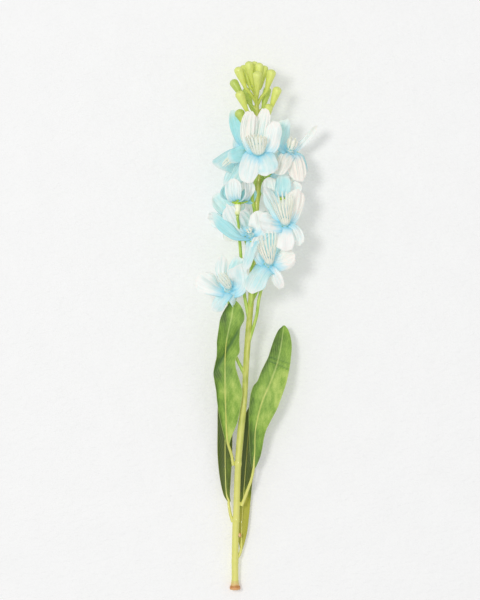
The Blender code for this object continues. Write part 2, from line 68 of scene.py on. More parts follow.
# Stem: centre line and radius, from the cut end to the highest bud
STEM = [
    (0, 3, 4, 2.4),
    (0, 22.5, 5.8, 2.4),
    (0.5, 46, 8, 2.4),
    (1, 55, 9, 2.35),
    (2, 85.5, 12.2, 2.3),
    (4, 111.5, 14.6, 2.5),
    (6.5, 134.5, 16.8, 2.1),
    (8, 162.5, 19.4, 2.2),
    (9.5, 183.5, 21.2, 2.2),
    (11, 201, 22.6, 2.1),
    (12, 222, 24.2, 2.1),
    (13.5, 246.5, 25.6, 2.2),
    (15, 271, 26.5, 2.1),
    (16.5, 295.5, 27, 1.9),
    (16.5, 323.5, 27.4, 1.6),
    (14.8, 344.5, 28, 1.3),
    (13.8, 353, 28.4, 0.9),
]
# Ring: how far along the stem it lies and how far it stands out
STEM_RINGS = [(49.5, 0.32), (89.0, 0.36), (20.0, 0.12), (201.5, 0.2), (233.0, 0.22)]
RING_WIDTH = 1.3


class Petal(NamedTuple):
    """One petal: where its tip lies, how wide it is, and how its cloth is shaped, dyed and painted
    with shade.
    """

    tip: tuple
    width: float
    cool: float = 0.3  # how much of the blue dye reaches it, and on petals that lie in shade also how much teal shade is painted on; below zero it is as much warmer
    stripe: float = 0.3  # how plainly its pleats show as grey-green painted shade in their folds, with cream between
    foot: float = 0.6  # its width in the throat as a share of its full width
    shoulder: float = 0.62  # share of the length at which the round end starts
    pleats: int = 3  # waves across its width
    depth: float = 0.22  # height of those waves
    curl: tuple = (26, 26)  # degrees by which each edge turns up
    roll: float = 0  # degrees by which it twists on the way to its tip
    bow: float = 0.06  # how far it bulges the way the flower faces, as a share of its length
    swing: float = 0  # how far its middle lies to one side
    facing: float = 0  # how far its width turns level, from 0 to 1


class Flower(NamedTuple):
    """One blossom: its throat, the way it faces, its stalk, its petals and its stamens."""

    hub: tuple
    axis: tuple
    tube: float  # length of the pale tube behind the throat
    joint: float  # how far along the stem its stalk leaves
    route: list  # points on the stalk's way
    petals: list
    stamens: tuple  # where its stamens end
    spread: float  # how far they fan out to each side
    strands: int = 12
    opening: float = 76  # degrees between the way it faces and the way its petals leave the throat
    cup: float = 2.3  # radius of the cup from which the strips rise


FLOWERS = {
    "01": Flower(
        hub=(16.2, 307.8, 38), axis=(0, 0.5, 0.86), tube=7, joint=264,
        route=[(12, 277, 31), (14.5, 289, 31.6)],
        petals=[
            Petal((12, 336.3, 42.5), 11.5, cool=-0.35, stripe=0.9, foot=0.8, shoulder=0.74,
                  pleats=4, depth=0.4, facing=0.7),
            Petal((21.8, 338, 37.5), 11, cool=0.15, stripe=0.7, foot=0.7, shoulder=0.5, depth=0.34,
                  facing=0.7),
            Petal((28.6, 329, 38), 12, cool=0.2, foot=1, shoulder=0.72, pleats=2),
            Petal((22.8, 290.5, 45.5), 17.5, cool=0.55, stripe=0.1, foot=1, shoulder=0.5,
                  depth=0.2),
            Petal((8, 285, 45), 16, cool=0.35, stripe=0.25, foot=1, shoulder=0.4, curl=(20, 60)),
        ],
        stamens=(15.2, 319, 47), spread=8.5, strands=18, cup=4.6,
    ),
    "02": Flower(
        hub=(5, 308.5, 24), axis=(-0.75, -0.1, 0.65), tube=5, joint=284,
        route=[(13, 297, 20)],
        petals=[
            Petal((-0.2, 338, 27), 12.5, cool=1.1, foot=0.9, facing=1),
            Petal((-5, 303, 35), 13, cool=1, stripe=0.2, foot=0.9, curl=(10, 10), facing=0.5),
            Petal((-11.5, 296.5, 28), 18.5, cool=0.75, foot=0.9, shoulder=0.7, curl=(45, 35),
                  facing=0.9),
            Petal((-6, 281.5, 27), 14.5, cool=0.65, stripe=0.6, foot=0.9, pleats=4, depth=0.35,
                  facing=0.9),
            Petal((3, 321, 8), 11.5, cool=0.6),
        ],
        stamens=(-6.5, 299, 33), spread=3.5, strands=8, cup=1.8,
    ),
    "03": Flower(
        hub=(2, 273.5, 33), axis=(0.03, 0.99, -0.12), tube=10.5, joint=190,
        route=[(6, 211.5, 24.5), (4, 236.5, 27.5), (2.4, 256, 32)],
        petals=[
            Petal((-1, 289.5, 39), 12.5, cool=0.4, stripe=0.6, pleats=4, depth=0.35, bow=0),
            Petal((9, 289.5, 38.5), 12.5, cool=0.35, stripe=0.6, pleats=4, depth=0.35, bow=0),
            Petal((-5, 286, 31), 11.5, cool=0.8, stripe=0.4, bow=0, facing=0.5),
            Petal((11, 284, 27.5), 11.5, cool=1, bow=0, facing=0.5),
            Petal((0, 290.5, 24.5), 11, cool=0.5, bow=0),
        ],
        stamens=(1.5, 286, 31), spread=3.5, opening=84,
    ),
    "04": Flower(
        hub=(38.5, 308, 25), axis=(0.25, 0.86, 0.4), tube=7, joint=281,
        route=[(26, 294.5, 21.5)],
        petals=[
            Petal((36.5, 331.5, 27), 12.5, cool=0.65, stripe=0.35, foot=1, shoulder=0.4, facing=1),
            Petal((57.8, 326, 25), 6, cool=0.1, stripe=0.1, shoulder=0.75, pleats=1, facing=0.5),
            Petal((29.8, 291, 36.5), 15.5, cool=-0.5, stripe=0.5, foot=1, pleats=4, depth=0.35),
            Petal((45, 286.5, 32.5), 14, cool=-0.6, stripe=0.7, foot=0.95, pleats=4, depth=0.35),
            Petal((51, 294, 20), 9.5, cool=0.8),
            Petal((25.5, 319, 12.5), 9, cool=1.2),
        ],
        stamens=(41.5, 319, 31.5), spread=4.5, strands=7, opening=80, cup=2.6,
    ),
    "05": Flower(
        hub=(32, 277, 24.5), axis=(0.1, 0.99, 0.05), tube=8, joint=233,
        route=[(18.8, 245, 25), (25, 259, 24)],
        petals=[
            Petal((23, 290.5, 30.5), 12.5, cool=0.2, bow=0, facing=1),
            Petal((34, 293.5, 32), 11.5, cool=0.75, stripe=0.4, bow=0, facing=0.6),
            Petal((43, 287.5, 27.5), 10.5, cool=0.35, bow=0, facing=0.8),
            Petal((27, 290, 15), 9.5, cool=0.5),
            Petal((39, 291, 14), 9.5, cool=0.5),
        ],
        stamens=(33, 291, 22), spread=3, opening=84,
    ),
    "06": Flower(
        hub=(34.8, 257.8, 34.5), axis=(0.1, 0.5, 0.86), tube=8, joint=203,
        route=[(20.5, 220, 23), (29.5, 239, 24.5)],
        petals=[
            Petal((43.5, 282, 37), 14, cool=-0.5, stripe=0.6, foot=0.8, shoulder=0.7, pleats=4,
                  depth=0.3, facing=0.5),
            Petal((20.5, 283, 38), 13, cool=0.5, stripe=0.25, foot=0.8, facing=0.5),
            Petal((17, 259.5, 43), 15, cool=0.2, stripe=0.1, foot=0.9, shoulder=0.76, curl=(15, 15),
                  facing=1),
            Petal((34.5, 238, 43), 13.5, cool=0, stripe=0.1, foot=0.8, pleats=2, depth=0.15),
            Petal((45, 242, 34), 7, cool=0.4, roll=50),
        ],
        stamens=(32.5, 276, 45), spread=9.5, strands=18, cup=3.3,
    ),
    "07": Flower(
        hub=(10.2, 249.5, 34), axis=(-0.05, 0.8, 0.6), tube=6, joint=197,
        route=[(12.3, 214, 28), (12, 229, 29)],
        petals=[
            Petal((-16, 264.5, 33), 10, cool=1.1, stripe=0.4, foot=0.95, curl=(35, 15), facing=0.8),
            Petal((-6, 270.5, 38), 12.5, cool=0.4, stripe=0.5, foot=0.95, pleats=4, depth=0.32,
                  facing=0.8),
            Petal((4.5, 266, 39.5), 10.5, cool=0.5, stripe=0.8, foot=0.9, depth=0.35, facing=0.8),
            Petal((13.8, 267, 34.5), 15, cool=0.1, stripe=0.1, foot=1, shoulder=0.55, facing=1),
            Petal((6.5, 223.5, 40), 10, cool=0.6, stripe=0.5, foot=1, shoulder=0.3, swing=-2),
        ],
        stamens=(8.5, 256, 32), spread=2.2, strands=6, cup=1.4,
    ),
    "08": Flower(
        hub=(23.5, 229.8, 36), axis=(0.15, 0.55, 0.82), tube=8, joint=172,
        route=[(14.8, 192, 23), (17, 206, 24.5)],
        petals=[
            Petal((17.5, 249.5, 40), 13.5, cool=0.2, stripe=0.7, foot=0.85, depth=0.35, facing=0.7),
            Petal((28, 254, 35.5), 13.5, cool=0.8, stripe=0.6, foot=0.85, pleats=4, depth=0.35,
                  facing=0.7),
            Petal((42, 236.5, 37), 14.5, cool=-0.4, stripe=0.1, foot=0.9, shoulder=0.5, facing=0.5),
            Petal((9.5, 210, 40), 19, cool=0.6, stripe=0.6, foot=0.9, curl=(55, 20)),
            Petal((32, 212, 35), 8, cool=0.1, stripe=0.2, roll=40),
        ],
        stamens=(21, 247.5, 45.5), spread=9.5, strands=18, cup=3,
    ),
    "09": Flower(
        hub=(-4.5, 211.5, 31), axis=(-0.05, 0.7, 0.7), tube=7, joint=151,
        route=[(-0.5, 168, 18), (-4, 190, 19)],
        petals=[
            Petal((0.5, 228.5, 40), 14, cool=0.45, stripe=0.25, foot=0.95, shoulder=0.8, facing=1),
            Petal((5, 234.5, 33), 12.5, cool=0.6, foot=0.8, facing=1),
            Petal((-8.5, 235.5, 34.5), 8.5, stripe=0.5, facing=0.7),
            Petal((-26.5, 221, 30), 17.5, cool=0.2, stripe=0.15, foot=0.75, pleats=2, facing=0.9),
            Petal((-15.5, 196.5, 31), 12, cool=0.55, stripe=0.2, foot=0.9, facing=0.6),
            Petal((1, 202.5, 24), 12, cool=0.6, stripe=0.2, foot=0.9),
        ],
        stamens=(-10, 222, 38), spread=5.5, cup=2.4,
    ),
    "10": Flower(
        hub=(-0.5, 263, 14.5), axis=(-0.3, 0.4, -0.86), tube=7, joint=229,
        route=[(7.5, 246, 20.5)],
        petals=[
            Petal((-15, 277.5, 19), 13.5, cool=0.6, facing=0.6),
            Petal((-19, 262.5, 7), 12.5, cool=0.4),
            Petal((0.5, 282, 3.5), 11.5),
            Petal((9, 267, 4.5), 10.5),
            Petal((-5, 245.5, 1), 11.5),
        ],
        stamens=(-5, 269, 5), spread=3.5,
    ),
    "11": Flower(
        hub=(21, 249.5, 12.5), axis=(0.25, 0.15, -0.95), tube=7, joint=215,
        route=[(17, 232, 18.5)],
        petals=[
            Petal((38, 255, 2.4), 11.5),
            Petal((26.5, 267, 2.8), 11.5, cool=0.4),
            Petal((11.5, 258.5, 1), 11.5),
            Petal((13.5, 236, 1.2), 11.5),
            Petal((32.5, 238.5, 1.5), 11.5, cool=0.2),
        ],
        stamens=(23, 251, 3.5), spread=3,
    ),
    "12": Flower(
        hub=(21, 292, 13.5), axis=(0.3, 0.3, -0.9), tube=7, joint=267,
        route=[(17.5, 280, 19.5)],
        petals=[
            Petal((39.5, 298, 3.5), 11.5),
            Petal((28.5, 311.5, 2.8), 11.5, cool=0.4),
            Petal((11, 303, 2), 11.5),
            Petal((15, 278, 2), 11.5, cool=0.2),
            Petal((33, 279.5, 2.4), 11.5),
        ],
        stamens=(24, 295, 4.5), spread=3,
    ),
}

# Bud: the middle of its round end, how far along the stem its stalk leaves, and its radius
BUDS = {
    "01": ((-0.5, 356, 27), 336, 3.1),
    "02": ((3.5, 347.5, 32.5), 327, 3.3),
    "03": ((2.5, 364.5, 32), 342, 3),
    "04": ((6, 366.5, 25.5), 347, 2.6),
    "05": ((9.8, 368.5, 31.5), 349, 2.9),
    "06": ((13.5, 369, 25.5), 350, 2.7),
    "07": ((16.8, 367.5, 31), 347, 2.9),
    "08": ((20.5, 366, 26), 349, 2.7),
    "09": ((15.5, 361, 37), 341, 3.3),
    "10": ((25.3, 362.5, 30.5), 340, 3.3),
    "11": ((29.3, 350.5, 31), 326, 3.2),
    "12": ((23.5, 338.5, 34), 320, 3),
    "13": ((3.5, 334.5, 27.5), 315, 3.6),
    "14": ((8, 350.5, 20.5), 331, 3),
    "15": ((22.5, 351, 21.5), 333, 2.8),
}


class Leaf(NamedTuple):
    """A leaf's blade with the painted light and shade of its rows, the points of its stalk, how olive
    its cloth is, and its folds, which are pressed in and painted with shade.
    """

    rows: list
    stalk: list
    olive: float = 0
    folds: tuple = ()


# A row is the pixels of the left edge, the midrib and the right edge, their heights in millimetres
# and how light the cloth is painted there, which paints the light and shade that fall on it. A fold
# is the pixels of its two ends, its depth and half width, and it is pressed in and painted with
# shade.
LEAVES = {
    "leaf_1": Leaf(
        rows=[
            (227, 445, 228, 445, 229.4, 445, 15, 14.8, 15, 0.5),
            (224.6, 437, 226.9, 437.5, 231.2, 438, 16.2, 15.6, 16.3, 0.55),
            (220.5, 420.6, 226, 420.6, 237.9, 420.6, 18.6, 17.8, 19, 0.6),
            (217.4, 403, 225.4, 403, 241.2, 403, 20.8, 19.9, 21.6, 0.6),
            (216.4, 392, 225, 392, 242.5, 392, 22.2, 21.4, 23, 0.6),
            (214.6, 382, 225, 382, 240, 382, 22.8, 22.2, 23.4, 0.5),
            (213.4, 373.7, 225, 373.7, 237.4, 373.7, 22.4, 22.3, 23.4, 0.4),
            (214.9, 365, 225, 365.5, 235.3, 365.5, 22.8, 22.3, 23.6, 0.4),
            (216.6, 357, 225.1, 358, 235.8, 359, 23.8, 22.9, 24.2, 0.4),
            (217, 349, 225.6, 350, 239.6, 352, 24.8, 24, 25, 0.45),
            (217, 341, 226.5, 341, 239.4, 342, 26, 25.3, 25.8, 0.45),
            (218.8, 327.8, 229, 327.8, 240.2, 328.5, 27.2, 26.6, 26.6, 0.45),
            (220.2, 319, 230.9, 320, 244, 320.6, 27.2, 26.8, 27, 0.5),
            (223.4, 311.5, 232.2, 312.5, 244.2, 313.5, 26.6, 26.4, 26.6, 0.5),
            (228, 304.6, 233.3, 304.6, 240.6, 305.5, 25.8, 25.6, 25.8, 0.45),
            (231.6, 300.6, 233.7, 300.8, 236.4, 301, 25.2, 25, 25.2, 0.4),
            (233.4, 299.6, 233.8, 299.5, 234.3, 299.6, 24.9, 24.8, 24.9, 0.4),
        ],
        stalk=[(-1.2, 88, 12.6), (-2.3, 95, 13.2), (-4.2, 101, 14.4)],
        folds=((244, 321, 213, 374, -0.9, 2.2),),
    ),
    "leaf_2": Leaf(
        rows=[
            (253, 471, 253.5, 471.5, 254, 471, 12.4, 12.4, 12.4, 0),
            (251.2, 466, 253.9, 466, 256.8, 466, 12.9, 12.6, 12.9, 0),
            (250.4, 458, 254.4, 458, 260.2, 458, 13.5, 13, 13.5, 0.1),
            (250, 449, 255, 450, 262, 450, 14.4, 13.6, 14.6, 0.2),
            (249.4, 434, 255.2, 433.5, 265.4, 432.9, 15.6, 14.5, 16, 0.45),
            (249, 420.5, 257.6, 419.5, 271.2, 420.4, 16.4, 15.3, 17.2, 0.7),
            (249, 412.5, 259.6, 411, 276.4, 410.8, 16.8, 15.8, 17.8, 0.7),
            (249.6, 402.5, 262.3, 402, 280, 402, 17.2, 16.2, 18.2, 0.7),
            (250.8, 394, 265.8, 393.5, 282.8, 394, 17.2, 16.4, 18.2, 0.7),
            (253.4, 386.4, 268.8, 387, 285.4, 386.4, 17, 16.4, 18, 0.65),
            (257.6, 381, 271.6, 380, 287.2, 380, 16.6, 16, 17.6, 0.6),
            (261.3, 371.6, 275, 371, 289.2, 371, 15.8, 15.4, 16.8, 0.5),
            (265, 364, 277.2, 364, 290.6, 363, 15.2, 14.9, 16, 0.4),
            (268.5, 357, 279, 357, 291.4, 355, 14.6, 14.3, 15.2, 0.35),
            (271.6, 347, 281, 347, 292, 345, 13.4, 13.2, 13.8, 0.35),
            (274.6, 338.5, 282.6, 337, 290.6, 336, 12.2, 12, 12.4, 0.35),
            (278.4, 330.6, 283.6, 329.6, 288.4, 329.6, 11, 10.8, 11, 0.35),
            (283, 326, 284.2, 325.6, 285.4, 325.8, 10.2, 10.1, 10.2, 0.35),
        ],
        stalk=[(4.6, 59.5, 9.8), (8.2, 69, 10.8), (11.6, 78.5, 11.8)],
        folds=((267, 356.5, 279.5, 360.6, -0.4, 0.9), (267, 360, 278.5, 365.2, -0.35, 0.9)),
    ),
    "leaf_3": Leaf(
        rows=[
            (227.6, 503, 229, 503, 230.4, 503, 7.4, 7.2, 7.4, 0.3),
            (223.4, 495, 226.4, 495, 229.6, 495, 7.4, 7, 8, 0.2),
            (219.6, 478, 225.4, 478, 230.6, 478, 7.2, 7, 9.2, 0),
            (217.6, 456, 225, 456, 231.8, 456, 7.2, 7, 9.4, -0.1),
            (217.4, 432, 225, 432, 232.2, 432, 7.6, 7.4, 9.6, -0.1),
            (217.6, 406, 225, 406, 232, 406, 8.8, 8.6, 10.2, 0),
            (219, 384, 224.2, 384, 229.4, 384, 10.6, 10.6, 11.4, 0.3),
            (221.4, 371, 223.2, 371, 225.2, 371, 12.2, 12.2, 12.4, 0.3),
            (222.6, 367.6, 223, 367.4, 223.4, 367.6, 12.5, 12.5, 12.5, 0.3),
        ],
        stalk=[(-1.6, 48, 8), (-3.4, 54, 8), (-4.4, 60, 7.6)],
        olive=0.85,
    ),
    "leaf_4": Leaf(
        rows=[
            (240.6, 551, 241.4, 551.4, 242.4, 551, 4.8, 4.6, 4.8, 1.6),
            (238.6, 543, 241.4, 543, 245, 543, 4.2, 3.9, 4.4, 1.6),
            (237.8, 532, 241.6, 532, 247.2, 532, 3.6, 3.2, 4.2, 1.6),
            (237.4, 512, 242.7, 512, 249.6, 512, 3.2, 2.7, 4.2, 1.2),
            (237.4, 488, 244.4, 486, 252, 486, 3.4, 2.9, 4.4, 0),
            (238.6, 461, 246.4, 460, 254.8, 460, 4.4, 3.9, 5.4, -0.25),
            (241.4, 435, 248.4, 435, 255.8, 435, 5.6, 5.2, 6.6, -0.25),
            (245.4, 416, 250.4, 415, 255.2, 415, 7.2, 7, 7.8, 0.1),
            (249.4, 407, 251.2, 406.6, 253, 407, 8, 8, 8.2, 0.1),
        ],
        stalk=[(1, 22, 5.4), (3.2, 25, 5)],
        olive=0.9,
    ),
}


def frame_matrix():
    """From millimetres, measured from the cut end, to the frame's metres."""
    low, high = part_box("stem_end")
    middle = (low + high) / 2
    start = Vector((middle.x, low.y, middle.z - STEM_END_RADIUS * MM))
    return Matrix.Translation(start) @ Matrix.Scale(MM, 4)


TO_FRAME = frame_matrix()


def from_pixels(x, y):
    """A place in the photograph as millimetres across and along the spike."""
    return (x - FOOT_PIXEL[0]) * PIXEL, (FOOT_PIXEL[1] - y) * PIXEL


def colour(code):
    """A shader colour from the six digits that name it on screen."""
    parts = [int(code[i : i + 2], 16) / 255 for i in (0, 2, 4)]
    return (*(p / 12.92 if p <= 0.04045 else ((p + 0.055) / 1.055) ** 2.4 for p in parts), 1.0)


class Wire:
    """A node's output that takes part in sums, each of which adds its Math node."""

    def __init__(self, finish, socket):
        self.finish = finish
        self.socket = socket

    def math(self, operation, *values):
        return self.finish.add("ShaderNodeMath", {"operation": operation}, dict(enumerate(values)))

    def __add__(self, other):
        return self.math("ADD", self, other)

    __radd__ = __add__

    def __sub__(self, other):
        return self.math("SUBTRACT", self, other)

    def __rsub__(self, other):
        return self.math("SUBTRACT", other, self)

    def __mul__(self, other):
        return self.math("MULTIPLY", self, other)

    __rmul__ = __mul__

    def __truediv__(self, other):
        return self.math("DIVIDE", self, other)

    def __pow__(self, other):
        return self.math("POWER", self, other)

    def __abs__(self):
        return self.math("ABSOLUTE", self)

    def clamped(self):
        return self.math("MINIMUM", self.math("MAXIMUM", self, 0.0), 1.0)

    def above(self, start, gain):
        """Rises from 0 where the value passes the start, to 1 at the most."""
        return ((self - start) * gain).clamped()

    def wave(self):
        """From 0 to 1 and back for each unit of the value."""
        return self.math("SINE", self * (2 * math.pi)) * 0.5 + 0.5


class Finish:
    """A material under construction."""

    def __init__(self, name, roughness, **constants):
        self.material = bpy.data.materials.new(name)
        self.material.use_nodes = True
        self.tree = self.material.node_tree
        self.shader = self.tree.nodes["Principled BSDF"]
        self.set(Roughness=roughness, **constants)

    def set(self, **constants):
        """Sets sockets of the shader that are the same all over the surface."""
        for socket, value in constants.items():
            self.shader.inputs[socket.replace("_", " ")].default_value = value

    def glow(self, weight, colours, reach):
        """Lets light into the skin: how much, and how far each colour goes in millimetres."""
        self.set(Subsurface_Weight=weight, Subsurface_Radius=colours, Subsurface_Scale=reach * MM)

    def add(self, kind, settings=None, sockets=None, out=0):
        node = self.tree.nodes.new(kind)
        for key, value in (settings or {}).items():
            if key == "stops":
                self.set_stops(node.color_ramp, value)
            else:
                setattr(node, key, value)
        for key, value in (sockets or {}).items():
            if isinstance(value, Wire):
                self.tree.links.new(value.socket, node.inputs[key])
            else:
                node.inputs[key].default_value = value
        return Wire(self, node.outputs[out])

    @staticmethod
    def set_stops(ramp, stops):
        while len(ramp.elements) < len(stops):
            ramp.elements.new(1.0)
        for element, (place, code) in zip(ramp.elements, stops):
            element.position = place
            element.color = colour(code)

    def split(self, vector):
        node = self.tree.nodes.new("ShaderNodeSeparateXYZ")
        self.tree.links.new(vector.socket, node.inputs[0])
        return [Wire(self, output) for output in node.outputs]

    def marks(self):
        """The three numbers that the piece carries at each point."""
        return self.split(self.add("ShaderNodeAttribute", {"attribute_name": "dye"}, out="Vector"))

    def across_and_along(self):
        """Shares of a sheet's width and length."""
        return self.split(self.add("ShaderNodeUVMap"))[:2]

    def vector(self, x, y, z):
        return self.add("ShaderNodeCombineXYZ", None, {0: x, 1: y, 2: z})

    def millimetres(self, stretch=(1.0, 1.0, 1.0)):
        """The place on the piece in millimetres, stretched along each axis."""
        sockets = {0: self.add("ShaderNodeTexCoord", out="Object"), 1: [s / MM for s in stretch]}
        return self.add("ShaderNodeVectorMath", {"operation": "MULTIPLY"}, sockets)

    def noise(self, vector, scale, detail=2.0, roughness=0.5):
        sockets = {"Vector": vector, "Scale": scale, "Detail": detail, "Roughness": roughness}
        return self.add("ShaderNodeTexNoise", None, sockets)

    def ramp(self, value, *stops):
        return self.add("ShaderNodeValToRGB", {"stops": stops}, {0: value})

    def mix(self, share, first, second, blend="MIX"):
        first, second = (colour(c) if isinstance(c, str) else c for c in (first, second))
        settings = {"data_type": "RGBA", "blend_type": blend}
        return self.add("ShaderNodeMix", settings, {0: share, 6: first, 7: second}, out=2)

    def weave(self, thread):
        """Height of a plain weave with this many millimetres between threads."""
        x, y, _ = self.split(self.millimetres())
        over = (x / thread).wave() * (y / thread * 0.5).wave()
        under = (x / thread * 0.5 + 0.25).wave() * (y / thread + 0.25).wave()
        return over + under

    def finish(self, base, height, strength, depth, roughness=None):
        """Links the colour and a height, which counts in steps of depth millimetres."""
        self.tree.links.new(base.socket, self.shader.inputs["Base Color"])
        if roughness is not None:
            self.tree.links.new(roughness.socket, self.shader.inputs["Roughness"])
        sockets = {"Height": height, "Strength": strength, "Distance": depth * MM}
        bump = self.add("ShaderNodeBump", None, sockets)
        self.tree.links.new(bump.socket, self.shader.inputs["Normal"])
        return self.material


def petal_cloth():
    """White cloth, sky blue in the throat, with an aqua to teal wash that is partly dye and partly
    painted shade, grey-green shade painted in the folds of its pleats and a line of painted shade
    along its edges.
    """
    cloth = Finish("petal_cloth", 0.75, Sheen_Weight=0.2)
    cloth.glow(0.3, (0.75, 1.0, 1.0), 0.6)
    across, along = cloth.across_and_along()
    dye, stripe, seed = cloth.marks()

    def drawn_out(wide, long, shift, scale=1.0, detail=2.0):
        """Noise that is drawn out along the petal and differs from petal to petal."""
        place = cloth.vector(across * wide, along * long, seed * shift)
        return cloth.noise(place, scale, detail)

    drift = drawn_out(2.0, 1.6, 7.0, 1.6, 3.0)
    streak = drawn_out(7.0, 0.9, 9.0)
    veins = drawn_out(18.0, 1.1, 11.0)
    fine = drawn_out(46.0, 2.2, 5.0, detail=1.0)
    cool = dye.clamped()
    warm = (dye * -1.0).clamped()
    base = cloth.mix(drift, "F8F8F4", "F1F4F1")
    base = cloth.mix(warm, base, "F3E8DC")
    # An aqua wash and a deeper teal on the bluest petals: partly blue dye, partly painted teal shade
    # on the petals that lie in shade
    wash = (cool * 1.3 + (drift - 0.5) * 1.2 + (streak - 0.5) * 1.0 - along * 0.3).clamped()
    base = cloth.mix(wash, base, "C9EBEE")
    base = cloth.mix((cool * 1.9 - 0.85 + (drift - 0.5) * 0.8).clamped() * 0.85, base, "A4DEE3")
    # Grey-green streaks that paint the shade in the pleats' folds, and cream between them, as strong
    # as the petal's stripe
    folds = veins.above(0.5, 7.0) * (stripe * 0.9 + 0.08)
    base = cloth.mix(folds * (1.15 - along * 0.8).clamped(), base, "B4CFC2")
    base = cloth.mix(((0.46 - veins) * 6.0).clamped() * stripe * 0.7, base, "F5EBDB")
    throat = (1.0 - along * 2.4 + (streak - 0.5) * 1.4).clamped()
    base = cloth.mix(throat * 0.9, base, "A0DEF5")
    base = cloth.mix((1.0 - along * 7.0 + (streak - 0.5) * 1.5).clamped() * 0.6, base, "74C9E3")
    base = cloth.mix(along.above(0.8, 5.0) * 0.6, base, "F6F2EB")
    base = cloth.mix(fine.above(0.5, 4.0) * 0.12, base, "A5CFCC")
    # A thin teal line painted along each petal's sides as the shade that outlines it, stronger on the
    # bluer petals
    edge = abs(across * 2.0 - 1.0) * (1.0 - along * 0.1)
    painted_edge_shade = ((edge - 0.91) * 16.0 + (drift - 0.5) * 2.0).clamped() * (cool * 0.35 + 0.45)
    base = cloth.mix(painted_edge_shade, base, "86BDBE")
    return cloth.finish(base, cloth.weave(0.45) * 0.35 + veins * 2.0 + fine * 0.7, 0.35, 0.12)


def stamen_thread():
    """Cream strips, teal at the foot."""
    thread = Finish("stamen_thread", 0.55)
    thread.glow(0.2, (1.0, 0.9, 0.7), 0.8)
    along, tone, seed = thread.marks()
    speck = thread.noise(thread.millimetres(), 0.9)
    tint = thread.mix(tone, "F8F4E6", "EBF1E6")
    base = thread.mix((1.0 - along * 3.2 + (speck - 0.5) * 0.8).clamped(), tint, "6FC6D2")
    base = thread.mix((speck + seed * 0.2).above(0.62, 4.0) * 0.5, base, "CFDCC8")
    return thread.finish(base, speck, 0.3, 0.1)


def moulded(name, light, main, dark, foot=None):
    """Soft moulded plastic in a living green, mottled and a little streaky."""
    plastic = Finish(name, 0.45, Coat_Weight=0.08)
    plastic.glow(0.12, (0.8, 1.0, 0.3), 1.0)
    streaks = plastic.noise(plastic.millimetres((1.0, 0.12, 1.0)), 0.55, 3.0)
    blotch = plastic.noise(plastic.millimetres(), 0.13)
    pores = plastic.noise(plastic.millimetres(), 2.6)
    base = plastic.mix(streaks.above(0.42, 4.0), main, light)
    base = plastic.mix(blotch.above(0.48, 5.0) * 0.55, base, dark)
    base = plastic.mix(pores.above(0.55, 5.0) * 0.25, base, dark)
    if foot:
        along = plastic.split(plastic.millimetres())[1]
        base = plastic.mix((along / -90.0 - 0.4).clamped() * 0.8, base, foot)
    return plastic.finish(base, streaks * 1.4 + pores * 0.6, 0.3, 0.12, 0.39 + pores * 0.14)


def bud_plastic():
    """Yellow-green plastic, lighter at the round end and greener in the neck; some buds are a darker
    green, partly as painted shade.
    """
    plastic = Finish("bud_plastic", 0.42, Coat_Weight=0.12)
    plastic.glow(0.15, (0.8, 1.0, 0.25), 1.2)
    along, green, seed = plastic.marks()
    mottle = plastic.noise(plastic.millimetres((1.0, 0.5, 1.0)), 0.5, 3.0)
    grain = plastic.noise(plastic.millimetres(), 2.4)
    fresh = plastic.ramp(along, (0.0, "B6C250"), (0.45, "D8E06C"), (0.8, "E3EB86"), (1.0, "D5E072"))
    # The darker green of some buds, which also paints the shade on the buds at the back
    deep = plastic.ramp(along, (0.0, "8FAB40"), (0.5, "B0C85C"), (1.0, "B4CC6A"))
    base = plastic.mix(green, fresh, deep)
    base = plastic.mix((mottle + seed * 0.1).above(0.52, 4.0) * 0.35, base, "A4B848")
    base = plastic.mix(grain.above(0.5, 3.0) * 0.2, base, "E6EC9A")
    return plastic.finish(base, mottle * 1.2 + grain * 0.5, 0.3, 0.12)


def tube_plastic():
    """The pale tube under a flower, cream with greenish ends and long fine grooves."""
    plastic = Finish("tube_plastic", 0.5)
    plastic.glow(0.2, (1.0, 1.0, 0.6), 1.2)
    along, turn, _ = plastic.marks()
    grooves = (turn * 9.0).wave()
    mottle = plastic.noise(plastic.millimetres(), 0.7)
    cream = [(0.14, "DEE5A0"), (0.4, "FAF9E6"), (0.8, "F8F8DE")]
    base = plastic.ramp(along, (0.0, "8DAE3A"), *cream, (1.0, "C9DE6E"))
    base = plastic.mix(grooves * 0.25 + (mottle - 0.4).clamped() * 0.3, base, "D9DDA6")
    return plastic.finish(base, grooves + mottle, 0.3, 0.2)


def star_plastic():
    """The lime star that holds the petals from behind."""
    plastic = Finish("star_plastic", 0.42, Coat_Weight=0.1)
    plastic.glow(0.15, (0.8, 1.0, 0.2), 1.0)
    mottle = plastic.noise(plastic.millimetres(), 0.5, 3.0)
    base = plastic.ramp(mottle, (0.3, "9CC41F"), (0.5, "B9D936"), (0.7, "D2E45A"))
    return plastic.finish(base, mottle, 0.3, 0.15)


def cut_plastic():
    """The peach-brown end of the stem, darker in its ring and green where the stem starts."""
    plastic = Finish("cut_plastic", 0.5)
    plastic.glow(0.12, (1.0, 0.6, 0.3), 1.0)
    along = plastic.marks()[0]
    mottle = plastic.noise(plastic.millimetres(), 0.8, 3.0)
    flare = [(0.0, "8A4F22"), (0.25, "E9C79A"), (0.5, "DDA56A")]
    ring = [(0.62, "B9783E"), (0.8, "DDBB7A"), (1.0, "D5CE74")]
    base = plastic.ramp(along + (mottle - 0.5) * 0.2, *flare, *ring)
    return plastic.finish(base, mottle, 0.3, 0.15)


